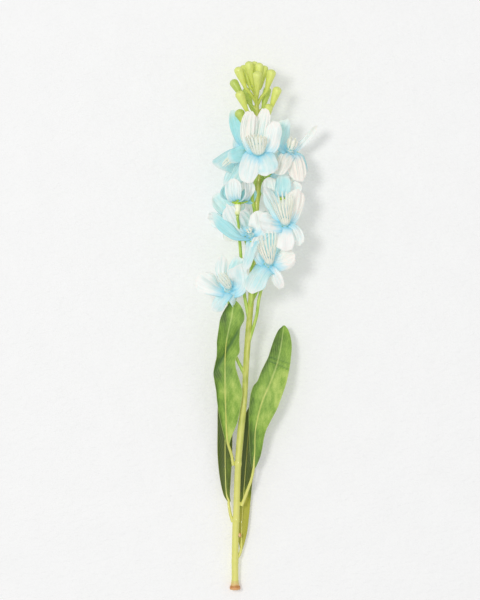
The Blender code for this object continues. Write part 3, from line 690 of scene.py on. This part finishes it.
def leaf_cloth():
    """Printed green cloth: a pale midrib, side veins and a soft mottle, with painted light and shade
    along it, painted shade on its left half, in the furrows beside the midrib and in its folds.
    """
    cloth = Finish("leaf_cloth", 0.55, Sheen_Weight=0.15)
    across, along = cloth.across_and_along()
    fold, light, olive = cloth.marks()
    side = abs(across - 0.5)
    mottle = cloth.noise(cloth.millimetres((1.0, 0.45, 1.0)), 0.16, 4.0, 0.6)
    speckle = cloth.noise(cloth.millimetres(), 1.5, 3.0, 0.6)
    veins = (along * 26.0 - side * 9.0 + (mottle - 0.5) * 0.8).wave() ** 5.0
    # Tone: the mottle, the painted light and shade of each row, the speckle, and painted shade on the
    # left half, the side turned from the light
    tone = mottle + (light - 0.5) * 0.55 + (speckle - 0.5) * 0.25 - (0.5 - across).clamped() * 0.6
    base = cloth.ramp(tone, (0.15, "41610C"), (0.36, "688F22"), (0.52, "86AB38"), (0.72, "B6CB60"))
    base = cloth.mix(veins * 0.2, base, "A9C163")
    # Painted shade in the furrows on each side of the midrib, stronger where the row is painted
    # darker
    painted_furrow_shade = (1.0 - abs(side - 0.075) * 26.0).clamped() * (0.75 - light * 0.4)
    base = cloth.mix(painted_furrow_shade * 0.5, base, "4F7A1C")
    base = cloth.mix((1.0 - side * 22.0).clamped() * 0.6, base, "C6D583")
    base = cloth.mix(side.above(0.475, 60.0) * 0.5, base, "BACB72")
    # Dark green painted as the shade in the leaf's folds
    base = cloth.mix(fold * 0.9, base, "35611A")
    base = cloth.mix(olive * 0.9, base, "F0CF7A", blend="MULTIPLY")
    height = cloth.weave(0.6) * 0.3 + veins * -0.9 + speckle * 0.5 + mottle * 1.5
    return cloth.finish(base, height, 0.4, 0.15)


MOULDS = {}
SMOOTH_ANGLE = math.radians(60)


def select_only(*things):
    bpy.ops.object.select_all(action="DESELECT")
    for thing in things:
        thing.select_set(True)
    bpy.context.view_layer.objects.active = things[0]


def straight_rod(sides, rings):
    """A straight rod of radius 1 and length 1, built up from a disc by extruding it ring by ring."""
    bpy.ops.mesh.primitive_circle_add(vertices=sides, radius=1, fill_type="NGON")
    bpy.ops.object.mode_set(mode="EDIT")
    bpy.ops.mesh.select_all(action="SELECT")
    for _ in range(rings):
        bpy.ops.mesh.extrude_region_move(TRANSFORM_OT_translate={"value": (0, 0, 1 / rings)})
    bpy.ops.mesh.select_all(action="SELECT")
    bpy.ops.mesh.normals_make_consistent(inside=False)
    bpy.ops.object.mode_set(mode="OBJECT")
    return bpy.context.object


def flat_sheet(columns, rows):
    """A flat sheet of small squares from -1 to 1 each way."""
    bpy.ops.mesh.primitive_grid_add(x_subdivisions=columns, y_subdivisions=rows, size=2)
    return bpy.context.object


def blank(make, *size):
    """A new object with its own copy of a plain shape that is modelled once for each size."""
    key = (make.__name__, *size)
    if key not in MOULDS:
        bpy.ops.object.select_all(action="DESELECT")
        first = make(*size)
        MOULDS[key] = first.data
        bpy.data.objects.remove(first)
    piece = bpy.data.objects.new(make.__name__, MOULDS[key].copy())
    bpy.context.scene.collection.objects.link(piece)
    return piece


def points_of(piece):
    points = np.empty(3 * len(piece.data.vertices))
    piece.data.vertices.foreach_get("co", points)
    return points.reshape(-1, 3)


def set_points(piece, points):
    piece.data.vertices.foreach_set("co", np.ascontiguousarray(points, np.float32).ravel())
    piece.data.update()


def mark(piece, *values):
    """Writes three numbers at each point of the piece, which its material reads."""
    count = len(piece.data.vertices)
    rows = np.stack([np.broadcast_to(value, count) for value in values], axis=1)
    attribute = piece.data.attributes.new("dye", "FLOAT_VECTOR", "POINT")
    attribute.data.foreach_set("vector", np.ascontiguousarray(rows, np.float32).ravel())


def shaped(piece, kind, **settings):
    """Puts a modifier on the piece and applies it."""
    select_only(piece)
    modifier = piece.modifiers.new(kind.lower(), kind)
    for key, value in settings.items():
        setattr(modifier, key, value)
    bpy.ops.object.modifier_apply(modifier=modifier.name)


def dressed(piece, material):
    piece.data.materials.clear()
    piece.data.materials.append(material)
    return piece


def joined(pieces):
    select_only(*pieces)
    bpy.ops.object.join()
    return pieces[0]


def install(piece, name, node):
    """Moves a finished piece into the frame and hides the CAD node it stands for."""
    piece.name = name
    piece.data.name = name
    select_only(piece)
    bpy.ops.object.mode_set(mode="EDIT")
    bpy.ops.mesh.select_all(action="SELECT")
    bpy.ops.mesh.normals_make_consistent(inside=False)
    bpy.ops.object.mode_set(mode="OBJECT")
    bpy.ops.object.shade_smooth_by_angle(angle=SMOOTH_ANGLE)
    piece.data.transform(TO_FRAME)
    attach(piece, "root")
    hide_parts(node)


def spline(points, shares):
    """A smooth curve through rows of numbers, read at shares of its way from 0 to 1."""
    rows = np.array(points, float)
    rows = np.vstack([2 * rows[0] - rows[1], rows, 2 * rows[-1] - rows[-2]])
    place = np.clip(shares, 0, 1) * (len(points) - 1)
    first = np.minimum(place.astype(int), len(points) - 2)
    t = (place - first)[..., None]
    a, b, c, d = (rows[first + i] for i in range(4))
    bend = (2 * a - 5 * b + 4 * c - d) * t**2 + (3 * b - a - 3 * c + d) * t**3
    return 0.5 * (2 * b + (c - a) * t + bend)


def unit(vectors):
    return vectors / np.maximum(np.linalg.norm(vectors, axis=-1, keepdims=True), 1e-9)


def dot(a, b):
    return np.sum(a * b, axis=-1, keepdims=True)


def turned_round(axis, turn):
    """A direction square to an axis, at a turn round it."""
    first = axis.orthogonal().normalized()
    return math.cos(turn) * first + math.sin(turn) * axis.cross(first)


def sides_along(path, side):
    """Two directions square to a path at each of its points, turned as little as possible."""
    tangents = unit(np.gradient(path, axis=0))
    side = np.array(side, float)
    found = []
    for tangent in tangents:
        side = unit(side - tangent * side.dot(tangent))
        found.append(side)
    across = np.array(found)
    return across, np.cross(tangents, across)


def rod_rings(sides, rings, tone, seed):
    """A straight rod with marks on it, and the ring of each of its points and its turn there."""
    rod = blank(straight_rod, sides, rings)
    points = points_of(rod)
    ring = np.rint(points[:, 2] * rings).astype(int)
    turn = np.arctan2(points[:, 1], points[:, 0])
    mark(rod, ring / rings, turn / (2 * math.pi) % 1.0 if tone is None else tone, seed)
    return rod, ring, turn


def swept(path, radii, sides, side=None, flat=1.0, lobes=0, lobe_depth=0.0, tone=None, seed=0.0):
    """A closed rod along a path, marked with its share of the way, its turn or tone, and its seed."""
    path = np.asarray(path)
    rod, ring, turn = rod_rings(sides, len(path) - 1, tone, seed)
    if side is None:
        side = np.eye(3)[np.argmin(np.abs(path[1] - path[0]))]
    across, up = sides_along(path, side)
    radius = np.asarray(radii)[ring] * (1 + lobe_depth * np.cos(lobes * turn))
    reach = across[ring] * np.cos(turn)[:, None] + up[ring] * np.sin(turn)[:, None] * flat
    set_points(rod, path[ring] + reach * radius[:, None])
    return rod


def turned(profile, foot, axis, sides, tone=None):
    """A closed shape turned round an axis, from rows of height and radius."""
    rod, ring, turn = rod_rings(sides, len(profile) - 1, tone, 0.0)
    axis = Vector(axis).normalized()
    first = np.array(axis.orthogonal().normalized())
    axis = np.array(axis)
    heights, radii = np.array(profile, float).T
    reach = np.outer(np.cos(turn), first) + np.outer(np.sin(turn), np.cross(axis, first))
    set_points(rod, np.array(foot) + np.outer(heights[ring], axis) + reach * radii[ring][:, None])
    return rod


def gridded(columns, rows):
    """A flat sheet, and its points' places across it from -1 to 1 and along it from 0 to 1."""
    sheet = blank(flat_sheet, columns, rows)
    grid = points_of(sheet)
    return sheet, grid[:, 0], (grid[:, 1] + 1) / 2


def stem_at(y):
    """The stem's centre at a distance along it."""
    rows = spline(STEM, np.linspace(0, 1, 400))
    return Vector([np.interp(y, rows[:, 1], rows[:, i]) for i in range(3)])


PETAL_COLUMNS = 40
PETAL_ROWS = 34
PETAL_FOOT_RADIUS = 2.8
PETAL_SAUCER = 7.0  # how far out the throat's direction carries
PETAL_SAUCER_SHARE = 0.4  # and the most it may be of a petal's length
PETAL_LEAN = math.radians(13)
PETAL_TURN_RATE = 1.6  # how soon a petal turns from the throat's side to its tip's
PETAL_CLOTH = 0.28
FINE_PLEATS = 0.3  # share of the depth of the main ones
RUFFLE = 0.5
DENTS = 0.5
CREASES = 1.5
UNEVEN_END = 0.035  # share of the length by which the outline of the tip wavers
UNEVEN_EDGE = 0.07  # share of the half width by which the outline of the sides wavers
# The cup in the throat that the petals stand in: height and radius
COROLLA_CUP = [(-0.5, 1.4), (0.0, 2.6), (0.5, 3.2), (0.8, 3.1), (0.6, 2.0), (0.5, 0.9)]


def petal_feet(flower):
    """The petals in order round the throat, each with the turn of its foot."""
    hub = Vector(flower.hub)
    axis = Vector(flower.axis).normalized()
    first, second = turned_round(axis, 0), turned_round(axis, math.pi / 2)
    order = []
    for petal in flower.petals:
        away = Vector(petal.tip) - hub
        order.append((math.atan2(away.dot(second), away.dot(first)), petal))
    order.sort(key=lambda pair: pair[0])
    step = 2 * math.pi / len(order)
    lag = [turn - i * step for i, (turn, _) in enumerate(order)]
    start = math.atan2(sum(map(math.sin, lag)), sum(map(math.cos, lag)))
    return [(start + i * step, petal) for i, (_, petal) in enumerate(order)]


def round_end(t, s, shoulder):
    """Where a point of a flat sheet goes on an outline with a round end past its shoulder."""
    out = np.clip((s - shoulder) / (1 - shoulder), 0, 1)
    along = np.where(s < shoulder, s, shoulder + (1 - shoulder) * out * np.sqrt(1 - t**2 / 2))
    return along, t * np.sqrt(1 - out**2 / 2)


def arc(reach, degrees):
    """Sideways and upward parts of a width that turns up evenly by this many degrees at its edge."""
    angle = np.maximum(np.abs(np.radians(degrees)), 1e-4) * np.sign(degrees + 1e-9)
    return np.sin(angle * reach) / angle, (1 - np.cos(angle * reach)) / angle


def crumple(across, along, seed):
    """Soft uneven dents, about one unit high, that differ with the seed."""
    total = 0.0
    for i in range(1, 6):
        turn = seed * (1.7 + i) + 2.4 * i
        pace = 1.5 + 1.1 * i
        run = math.cos(turn) * across + math.sin(turn) * along * 2
        total = total + np.sin(pace * run + 5 * turn) / i
    return total / 1.6


def creased(across, along, seed):
    """A valley and a weaker ridge, each folded along a straight line at a slant of its own."""
    total = 0.0
    for i, depth in enumerate((1.0, -0.8)):
        slant = 0.9 * math.sin(seed * 5.3 + 2.1 * i)
        place = 0.45 * math.sin(seed * 9.1 + 3.7 * i)
        off_fold = math.cos(slant) * across + math.sin(slant) * (along * 2 - 1.2) - place
        total = total + depth * (np.sqrt(off_fold**2 + 0.004) - 0.5)
    return total


def same_way(direction, other):
    return -direction if direction.dot(other) < 0 else direction


def petal_bones(flower, foot_turn, petal):
    """The four points that bend a petal's middle, and the way its width runs at foot and tip."""
    axis = Vector(flower.axis).normalized()
    radial = turned_round(axis, foot_turn)
    foot = Vector(flower.hub) + radial * PETAL_FOOT_RADIUS
    tip = Vector(petal.tip)
    run = tip - foot
    side = axis.cross(radial)
    tip_side = same_way(axis.cross(run).normalized(), side)
    level = same_way(Vector((0, 0, 1)).cross(run).normalized(), tip_side)
    tip_side = tip_side.lerp(level, petal.facing).normalized()
    opening = math.radians(flower.opening)
    rise = axis * math.cos(opening) + radial * math.sin(opening)
    hold = foot + rise * min(PETAL_SAUCER, PETAL_SAUCER_SHARE * run.length)
    bend = hold.lerp(tip, 0.5) + axis * run.length * petal.bow + tip_side * petal.swing
    return [np.array(bone) for bone in (foot, hold, bend, tip, side, tip_side)]


def petal_relief(petal, t, along, phase):
    """How high a petal's pleats, ruffled edges, dents and creases stand on its bent cloth."""
    pleats = np.cos(math.pi * petal.pleats * t + phase)
    pleats += FINE_PLEATS * np.cos(math.pi * (2.3 * petal.pleats + 1) * t + 2 * phase)
    pleats *= np.clip(along * 3, 0.25, 1) * np.clip((1 - along) * 5, 0.3, 1)
    ruffle = np.abs(t) ** 3 * np.sin(9 * along + 2.5 * np.sign(t) + phase) * along
    dents = DENTS * crumple(t, along, phase) + CREASES * creased(t, along, phase)
    return petal.depth * pleats + RUFFLE * ruffle + dents * np.clip(2.5 * along - 0.2, 0, 1)


def make_petal(flower, foot_turn, petal, seed):
    """A cloth petal bent from a flat sheet: held by the throat, pleated, curled and ruffled."""
    sheet, t, s = gridded(PETAL_COLUMNS, PETAL_ROWS)
    a, b, c, d, side, tip_side = petal_bones(flower, foot_turn, petal)
    along, reach = round_end(t, s, petal.shoulder)
    along += UNEVEN_END * (crumple(1.6 * t, 0 * t, seed) - 0.5) * s**6
    share = along[:, None]
    rest = 1 - share
    middle = rest**3 * a + 3 * share * rest**2 * b + 3 * share**2 * rest * c + share**3 * d
    slope = unit(rest**2 * (b - a) + 2 * share * rest * (c - b) + share**2 * (d - c))
    blend = np.minimum(1, PETAL_TURN_RATE * share)
    across = side * (1 - blend) + tip_side * blend
    across = unit(across - slope * dot(across, slope))
    lean = PETAL_LEAN * np.minimum(1, 0.6 + 2 * share) + math.radians(petal.roll) * share
    across = across * np.cos(lean) + np.cross(slope, across) * np.sin(lean)
    inward = np.cross(across, slope)

    grow = np.sin(np.clip(along / petal.shoulder, 0, 1) * math.pi / 2)
    half = petal.width / 2 * (petal.foot + (1 - petal.foot) * grow)
    half *= 1 + UNEVEN_EDGE * crumple(np.sign(t), 1.5 * along, seed)
    left, right = petal.curl
    wide, lift = arc(np.abs(reach), np.where(reach < 0, left, right))
    sideways = half * wide * np.sign(reach)
    height = half * lift + petal_relief(petal, t, along, seed * 1.7)
    set_points(sheet, middle + across * sideways[:, None] + inward * height[:, None])
    mark(sheet, petal.cool, petal.stripe, seed)
    return sheet


def make_corolla(number, flower, cloth):
    """A flower's petals and the small cup they stand in, as one die-cut blank."""
    petals = []
    for i, (turn, petal) in enumerate(petal_feet(flower)):
        petals.append(make_petal(flower, turn, petal, int(number) * 0.37 + i * 1.31))
    corolla = joined(petals)
    shaped(corolla, "SOLIDIFY", thickness=PETAL_CLOTH, offset=0.0)
    corolla = joined([corolla, turned(COROLLA_CUP, flower.hub, flower.axis, 20)])
    dressed(corolla, cloth)
    install(corolla, f"flower_{number}_cloth", f"flower_{number}_petals")


STRIP_RINGS = 12
STRIP_HALF_WIDTH = 0.95  # at the most; many strips round a small cup are narrower
STRIP_THICKNESS = 0.25  # share of the width
STRIP_SHAPE = ([0, 0.3, 0.75, 0.93, 1], [1.0, 1.0, 1.2, 0.9, 0.3])
FAN_DEPTH = 0.35  # the fan is this share as deep as it is wide
# The cup of the stamens, height and radius, which is made as large as the flower's says
TUFT_CUP_RADIUS = 3.6
TUFT_CUP = [
    (0.5, 1.2), (0.6, 2.4), (1.1, 3.1), (1.9, 3.5), (2.8, 3.6),
    (2.8, 3.3), (2.0, 3.1), (1.2, 2.4), (0.9, 1.2), (0.8, 0.5),
]


def make_tuft(number, flower, thread):
    """A flower's stamens: a small cream cup whose rim is cut into long narrow strips."""
    hub = np.array(flower.hub, float)
    axis = np.array(Vector(flower.axis).normalized())
    tip = np.array(flower.stamens, float)
    heading = unit(tip - hub)
    first = unit(np.cross(heading, axis))
    second = np.cross(axis, first)
    size = flower.cup / TUFT_CUP_RADIUS
    low = min(1.0, 0.4 + 0.5 * size)
    cup = [(height * low, radius * size) for height, radius in TUFT_CUP]
    tuft = [turned(cup, hub, axis, 28, 0.9)]
    shares = np.linspace(0, 1, STRIP_RINGS + 1)
    room = math.pi * flower.cup / flower.strands
    radii = STRIP_HALF_WIDTH * min(1.0, room) * np.interp(shares, *STRIP_SHAPE)
    for i in range(flower.strands):
        turn = 2 * math.pi * i / flower.strands
        wobble = math.sin(i * 12.9 + int(number) * 4.1)
        out = first * math.cos(turn) + second * math.sin(turn)
        fan = first * math.cos(turn) + second * math.sin(turn) * FAN_DEPTH
        fan_edge = abs(math.cos(turn)) ** 3
        start = hub + axis * 2.0 + out * flower.cup
        end = tip + fan * flower.spread * (0.88 + 0.12 * wobble)
        end += heading * (2.4 * wobble - 1.5 * fan_edge)
        leave = start + axis * 1.6 + (end - start) * 0.12 + out * 0.3
        bend = leave + (end - leave) * 0.5 + axis * (0.5 + 0.5 * wobble) + out * 0.5
        path = spline([start, leave, bend, end], shares)
        strip = {"flat": STRIP_THICKNESS, "tone": 0.5 + 0.5 * wobble, "seed": i * 0.37 % 1.0}
        tuft.append(swept(path, radii, 8, np.cross(axis, out), **strip))
    tuft = dressed(joined(tuft), thread)
    install(tuft, f"flower_{number}_tuft", f"flower_{number}_stamens")


STAR_LOBES = 5
STAR_REACH = 6.8
LOBE_ROOT = 1.3
LOBE_HALF_WIDTH = 1.75
LOBE_BACK = -1.75  # height of a lobe's root behind the throat
LOBE_CLOTH = 0.5
COLLAR = [(-2.6, 2.15), (-2.3, 2.5), (-1.6, 2.7), (-0.9, 2.6), (-0.6, 1.9)]
TUBE_RADIUS = 2.2
TUBE_SHAPE = ([0, 0.08, 0.2, 0.75, 1], [0.62, 0.86, 1.0, 1.0, 1.12])
STALK_RADIUS = 1.1


def make_lobe(hub, axis, turn, number):
    """One pointed lobe of the green star, curved along the back of the petals."""
    lobe, t, s = gridded(8, 12)
    radial = turned_round(axis, turn)
    length = STAR_REACH + 0.6 * math.sin(number * 5) - LOBE_ROOT
    height = LOBE_BACK + 1.1 * s**1.6 + 0.25 * (1 - t**2)
    half = LOBE_HALF_WIDTH * (1 - s**1.5) ** 0.8 + 0.05
    middle = np.array(hub) + np.outer(LOBE_ROOT + length * s, radial) + np.outer(height, axis)
    set_points(lobe, middle + np.outer(half * t, axis.cross(radial)))
    return lobe


def make_calyx(number, flower, green, cream, lime):
    """A flower's stalk, its pale tube and the star behind the petals."""
    hub, axis = Vector(flower.hub), Vector(flower.axis).normalized()
    tube_foot = hub - axis * flower.tube
    route = [Vector(place) for place in flower.route]
    line = [stem_at(flower.joint), *route, tube_foot - axis * 1.5, tube_foot + axis * 0.6]
    shares = np.linspace(0, 1, 29)
    radii = STALK_RADIUS * (1 + 0.5 * np.exp(-shares * 14) + 0.25 * np.exp(-(1 - shares) * 16))
    stalk = dressed(swept(spline(line, shares), radii, 12), green)

    shares = np.linspace(0, 1, 15)
    path = [tube_foot.lerp(hub - axis * 0.4, share) for share in shares]
    radii = TUBE_RADIUS * np.interp(shares, *TUBE_SHAPE)
    tube = dressed(swept(path, radii, 20, lobes=8, lobe_depth=0.02), cream)

    turns = [2 * math.pi * i / STAR_LOBES + int(number) for i in range(STAR_LOBES)]
    star = joined([make_lobe(hub, axis, turn, i) for i, turn in enumerate(turns)])
    shaped(star, "SOLIDIFY", thickness=LOBE_CLOTH, offset=-1.0)
    star = dressed(joined([star, turned(COLLAR, hub, axis, 20)]), lime)
    calyx = joined([stalk, tube, star])
    install(calyx, f"flower_{number}_stalk_and_star", f"flower_{number}_calyx")


BUD_LENGTH = 16.0
BUD_END = 0.8  # share of the way at which the round end starts
BUD_TURN = 0.35  # how much a bud turns along the stem
# Radius along a bud's stalk and neck, at shares of the way; from 0.8 on it is the bud's own
BUD_NECK = ([0, 0.2, 0.4, 0.5, 0.6, 0.7], [1.15, 1.05, 1.25, 1.65, 2.25, 2.8])
# Buds of a darker green: partly their own colour, partly painted shade on the buds at the back
GREENER_AND_SHADED_BUDS = ("01", "13", "14", "15")


def make_bud(number, place, joint, radius, plastic):
    """A drop-shaped bud on a thick neck that tapers into its stalk."""
    middle = Vector(place)
    start = stem_at(joint)
    ahead = (stem_at(joint + 4) - start).normalized()
    heading = ((middle - start).normalized() + BUD_TURN * ahead).normalized()
    neck = middle - heading * (BUD_LENGTH - radius)
    bend = start.lerp(neck, 0.5) + ahead
    line = [start, bend, neck, neck.lerp(middle, 0.5), middle, middle + heading * radius]
    crowding = np.sin(np.linspace(0, math.pi / 2, 11)[1:])
    shares = np.concatenate([np.linspace(0, BUD_END, 31), BUD_END + (1 - BUD_END) * crowding])
    places, girths = BUD_NECK
    girth = np.interp(shares, [*places, BUD_END, 1], [*girths, radius, radius])
    end = np.clip((shares - BUD_END) / (1 - BUD_END), 0, 1)
    radii = np.minimum(girth, radius) * np.sqrt(np.maximum(1 - end**2, 0.0009))
    seed = int(number) * 0.73 % 1.0
    green = 0.75 if number in GREENER_AND_SHADED_BUDS else 0.15 * seed
    bud = swept(spline(line, shares), radii, 20, lobes=5, lobe_depth=0.03, tone=green, seed=seed)
    install(dressed(bud, plastic), f"bud_{number}_drop", f"bud_{number}")


LEAF_COLUMNS = 36
LEAF_ROWS = 100
LEAF_CLOTH = 0.4
MIDRIB_DEPTH = 0.3
MIDRIB_HALF_WIDTH = 0.09  # share of the half blade
EDGE_WAVE = 0.35
BLADE_SWAY = 0.5
# The rib under the blade: its radius, and how far below the cloth it runs, at shares of its way
RIB_RADIUS = ([0, 0.08, 0.25, 0.4, 1], [1.15, 0.95, 0.8, 0.6, 0.25])
RIB_DROP = ([0, 0.15, 1], [0.3, 0.75, 0.55])


def leaf_rows(leaf):
    """The leaf's rows in millimetres: left edge, midrib and right edge, and then the painted light
    and shade.
    """
    rows = []
    for lx, ly, mx, my, rx, ry, lz, mz, rz, light in leaf.rows:
        left, middle, right = from_pixels(lx, ly), from_pixels(mx, my), from_pixels(rx, ry)
        rows.append((*left, lz, *middle, mz, *right, rz, light))
    return rows


def fold_over(points, fold):
    """Presses a straight fold into a blade's points, and gives how strongly the fold's shade is
    painted on each one.
    """
    x0, y0, x1, y1, depth, width = fold
    start, end = np.array(from_pixels(x0, y0)), np.array(from_pixels(x1, y1))
    run = end - start
    off = points[:, :2] - start
    away = (off[:, 0] * run[1] - off[:, 1] * run[0]) / np.linalg.norm(run)
    share = np.clip(off @ run / run.dot(run), 0, 1)
    near = np.exp(-((away / width) ** 2)) * np.sqrt(np.sin(math.pi * np.clip(share, 0.1, 0.9)))
    points[:, 2] += depth * near
    return np.exp(-((away / width / 0.7) ** 2)) * near


def make_leaf(name, leaf, cloth, green):
    """A cloth blade through three lines of points, with a moulded rib under it that is its stalk."""
    rows = leaf_rows(leaf)
    blade, t, s = gridded(LEAF_COLUMNS, LEAF_ROWS)
    row = spline(rows, s)
    left, middle, right, light = row[:, 0:3], row[:, 3:6], row[:, 6:9], row[:, 9]
    points = middle + (right - left) / 2 * t[:, None]
    points += ((left + right) / 2 - middle) * t[:, None] ** 2
    seed = 6 + 3.1 * int(name[-1])
    body = np.sin(math.pi * s)
    groove = np.exp(-((t / MIDRIB_HALF_WIDTH) ** 2)) * np.sin(math.pi * np.clip(s * 1.1, 0, 1))
    points[:, 2] -= MIDRIB_DEPTH * groove
    points[:, 2] += EDGE_WAVE * t**2 * np.sin(21 * s + 3 * np.sign(t) + seed) * body
    points[:, 2] += BLADE_SWAY * np.sin(5.5 * s + seed) * t * body
    painted_fold_shade = np.zeros(len(t))
    for fold in leaf.folds:
        painted_fold_shade = np.maximum(painted_fold_shade, fold_over(points, fold))
    set_points(blade, points)
    mark(blade, painted_fold_shade, light, leaf.olive)
    shaped(blade, "SOLIDIFY", thickness=LEAF_CLOTH, offset=-1.0)
    dressed(blade, cloth)

    under = spline(rows, np.linspace(0.02, 0.86, 24))[:, 3:6]
    under[:, 2] -= np.interp(np.linspace(0, 1, 24), *RIB_DROP)
    shares = np.linspace(0, 1, 60)
    path = spline([*map(np.array, leaf.stalk), *under], shares)
    rib = swept(path, np.interp(shares, *RIB_RADIUS), 10, tone=leaf.olive, seed=0.3)
    install(joined([blade, dressed(rib, green)]), f"{name}_blade", name)


STEM_VOXEL = 0.34
# Stubs that stay on the stem where stalks leave it: their length, and radii from the stem outwards
STUB_LENGTH = 5.0
FLOWER_STUB = (1.9, 1.15)
BUD_STUB = (1.35, 1.0)
LEAF_STUB = (1.7, 0.95)
# The small cut nub on the lower stem: its pixel, its height and its profile
NUB_PIXEL = (238, 537)
NUB_HEIGHT = 7.0
NUB_PROFILE = [(0.0, 1.5), (1.4, 1.5), (2.2, 1.25), (2.5, 0.6)]
# The flared end: height above the cut and radius, from the hollow in its middle outwards
STEM_END_PROFILE = [
    (1.1, 0.7), (0.9, 1.1), (0.25, 1.5), (0.0, 1.9), (0.0, 2.9),
    (0.12, 3.35), (0.5, 3.68), (1.0, 3.8), (1.9, 3.74), (2.6, 3.5),
    (3.1, 3.2), (3.7, 3.05), (4.6, 2.85), (5.8, 2.6), (7.2, 2.42),
]


def make_stem(green, peach):
    """The stem with its rings and the stubs where stalks leave it, melted into one skin."""
    rows = spline(STEM, np.linspace(0, 1, 321))
    radii = rows[:, 3].copy()
    for place, bump in STEM_RINGS:
        radii += bump * np.exp(-(((rows[:, 1] - place) / RING_WIDTH) ** 2))
    parts = [swept(rows[:, :3], radii, 24)]
    stubs = [(flower.joint, flower.route[0], FLOWER_STUB) for flower in FLOWERS.values()]
    stubs += [(joint, place, BUD_STUB) for place, joint, _ in BUDS.values()]
    stubs += [(leaf.stalk[0][1] - 1.5, leaf.stalk[1], LEAF_STUB) for leaf in LEAVES.values()]
    for joint, towards, (thick, thin) in stubs:
        start = stem_at(joint)
        out = (Vector(towards) - start).normalized()
        path = [start + out * (STUB_LENGTH * i / 6) for i in range(7)]
        parts.append(swept(path, np.linspace(thick, thin, 7), 14))
    stem = joined(parts)
    shaped(stem, "REMESH", mode="VOXEL", voxel_size=STEM_VOXEL, use_smooth_shade=True)
    shaped(stem, "SMOOTH", factor=0.5, iterations=6)
    dressed(stem, green)
    nub = turned(NUB_PROFILE, (*from_pixels(*NUB_PIXEL), NUB_HEIGHT), (1, 0.25, 0.1), 16)
    install(joined([stem, dressed(nub, peach)]), "stem_moulding", "stem")


def make_stem_end(peach):
    end = turned(STEM_END_PROFILE, (0, 0, STEM_END_RADIUS), (0, 1, 0.06), 40)
    install(dressed(end, peach), "stem_end_flare", "stem_end")


def make_floor():
    """A pale board with a rough plastered skin, far wider than the spike."""
    bpy.ops.object.select_all(action="DESELECT")
    bpy.ops.mesh.primitive_plane_add(size=FLOOR_SIZE)
    floor = bpy.context.object
    floor.name = "floor"
    board = Finish("floor_board", 0.9)
    rough = board.noise(board.millimetres((0.6, 1.0, 1.0)), 0.3, 4.0, 0.55)
    coarse = board.noise(board.millimetres(), 0.05)
    dressed(floor, board.finish(board.mix(coarse, "F2F2F2", "F6F6F6"), rough, 0.7, 1.3))


def make_lights():
    """Even light from everywhere, one soft lamp at the upper left and a shadowless one above."""
    world = bpy.data.worlds.new("studio")
    world.use_nodes = True
    backdrop = world.node_tree.nodes["Background"]
    backdrop.inputs["Color"].default_value = WORLD_COLOUR
    backdrop.inputs["Strength"].default_value = WORLD_STRENGTH
    bpy.context.scene.world = world
    for name, place, power, size, shadow in LAMPS:
        lamp = bpy.data.lights.new(name, "AREA")
        lamp.shape = "DISK"
        lamp.size = size
        lamp.energy = power
        lamp.use_shadow = shadow
        lamp.color = LAMP_COLOUR
        holder = bpy.data.objects.new(name, lamp)
        holder.location = place
        holder.rotation_euler = (-Vector(place)).to_track_quat("-Z", "Y").to_euler()
        bpy.context.scene.collection.objects.link(holder)


def make_camera():
    """Straight above the middle of the photograph's area, so far away that it looks flat."""
    view = bpy.data.cameras.new("camera")
    view.lens = view.sensor_width * CAMERA_HEIGHT / (IMAGE[1] * PIXEL * MM)
    camera = bpy.data.objects.new("camera", view)
    over = TO_FRAME @ Vector((*from_pixels(IMAGE[0] / 2, IMAGE[1] / 2), 0))
    camera.location = (over.x, over.y, CAMERA_HEIGHT + FLOWER_HEIGHT)
    bpy.context.scene.collection.objects.link(camera)
    bpy.context.scene.camera = camera


def build():
    petal, thread, blade, bud = petal_cloth(), stamen_thread(), leaf_cloth(), bud_plastic()
    green = moulded("stem_plastic", "D9D97E", "BCC458", "97A93F", foot="E3DF7C")
    fresh = moulded("stalk_plastic", "C9DB74", "A6C64E", "87AF3A")
    cream, lime, peach = tube_plastic(), star_plastic(), cut_plastic()
    make_stem(green, peach)
    make_stem_end(peach)
    for name, leaf in LEAVES.items():
        make_leaf(name, leaf, blade, green)
    for number, flower in FLOWERS.items():
        make_calyx(number, flower, fresh, cream, lime)
        make_corolla(number, flower, petal)
        make_tuft(number, flower, thread)
    for number, (place, joint, radius) in BUDS.items():
        make_bud(number, place, joint, radius, bud)


bpy.ops.object.select_all(action="DESELECT")
build()
make_floor()
make_lights()
make_camera()
bpy.context.scene.view_settings.view_transform = "Standard"
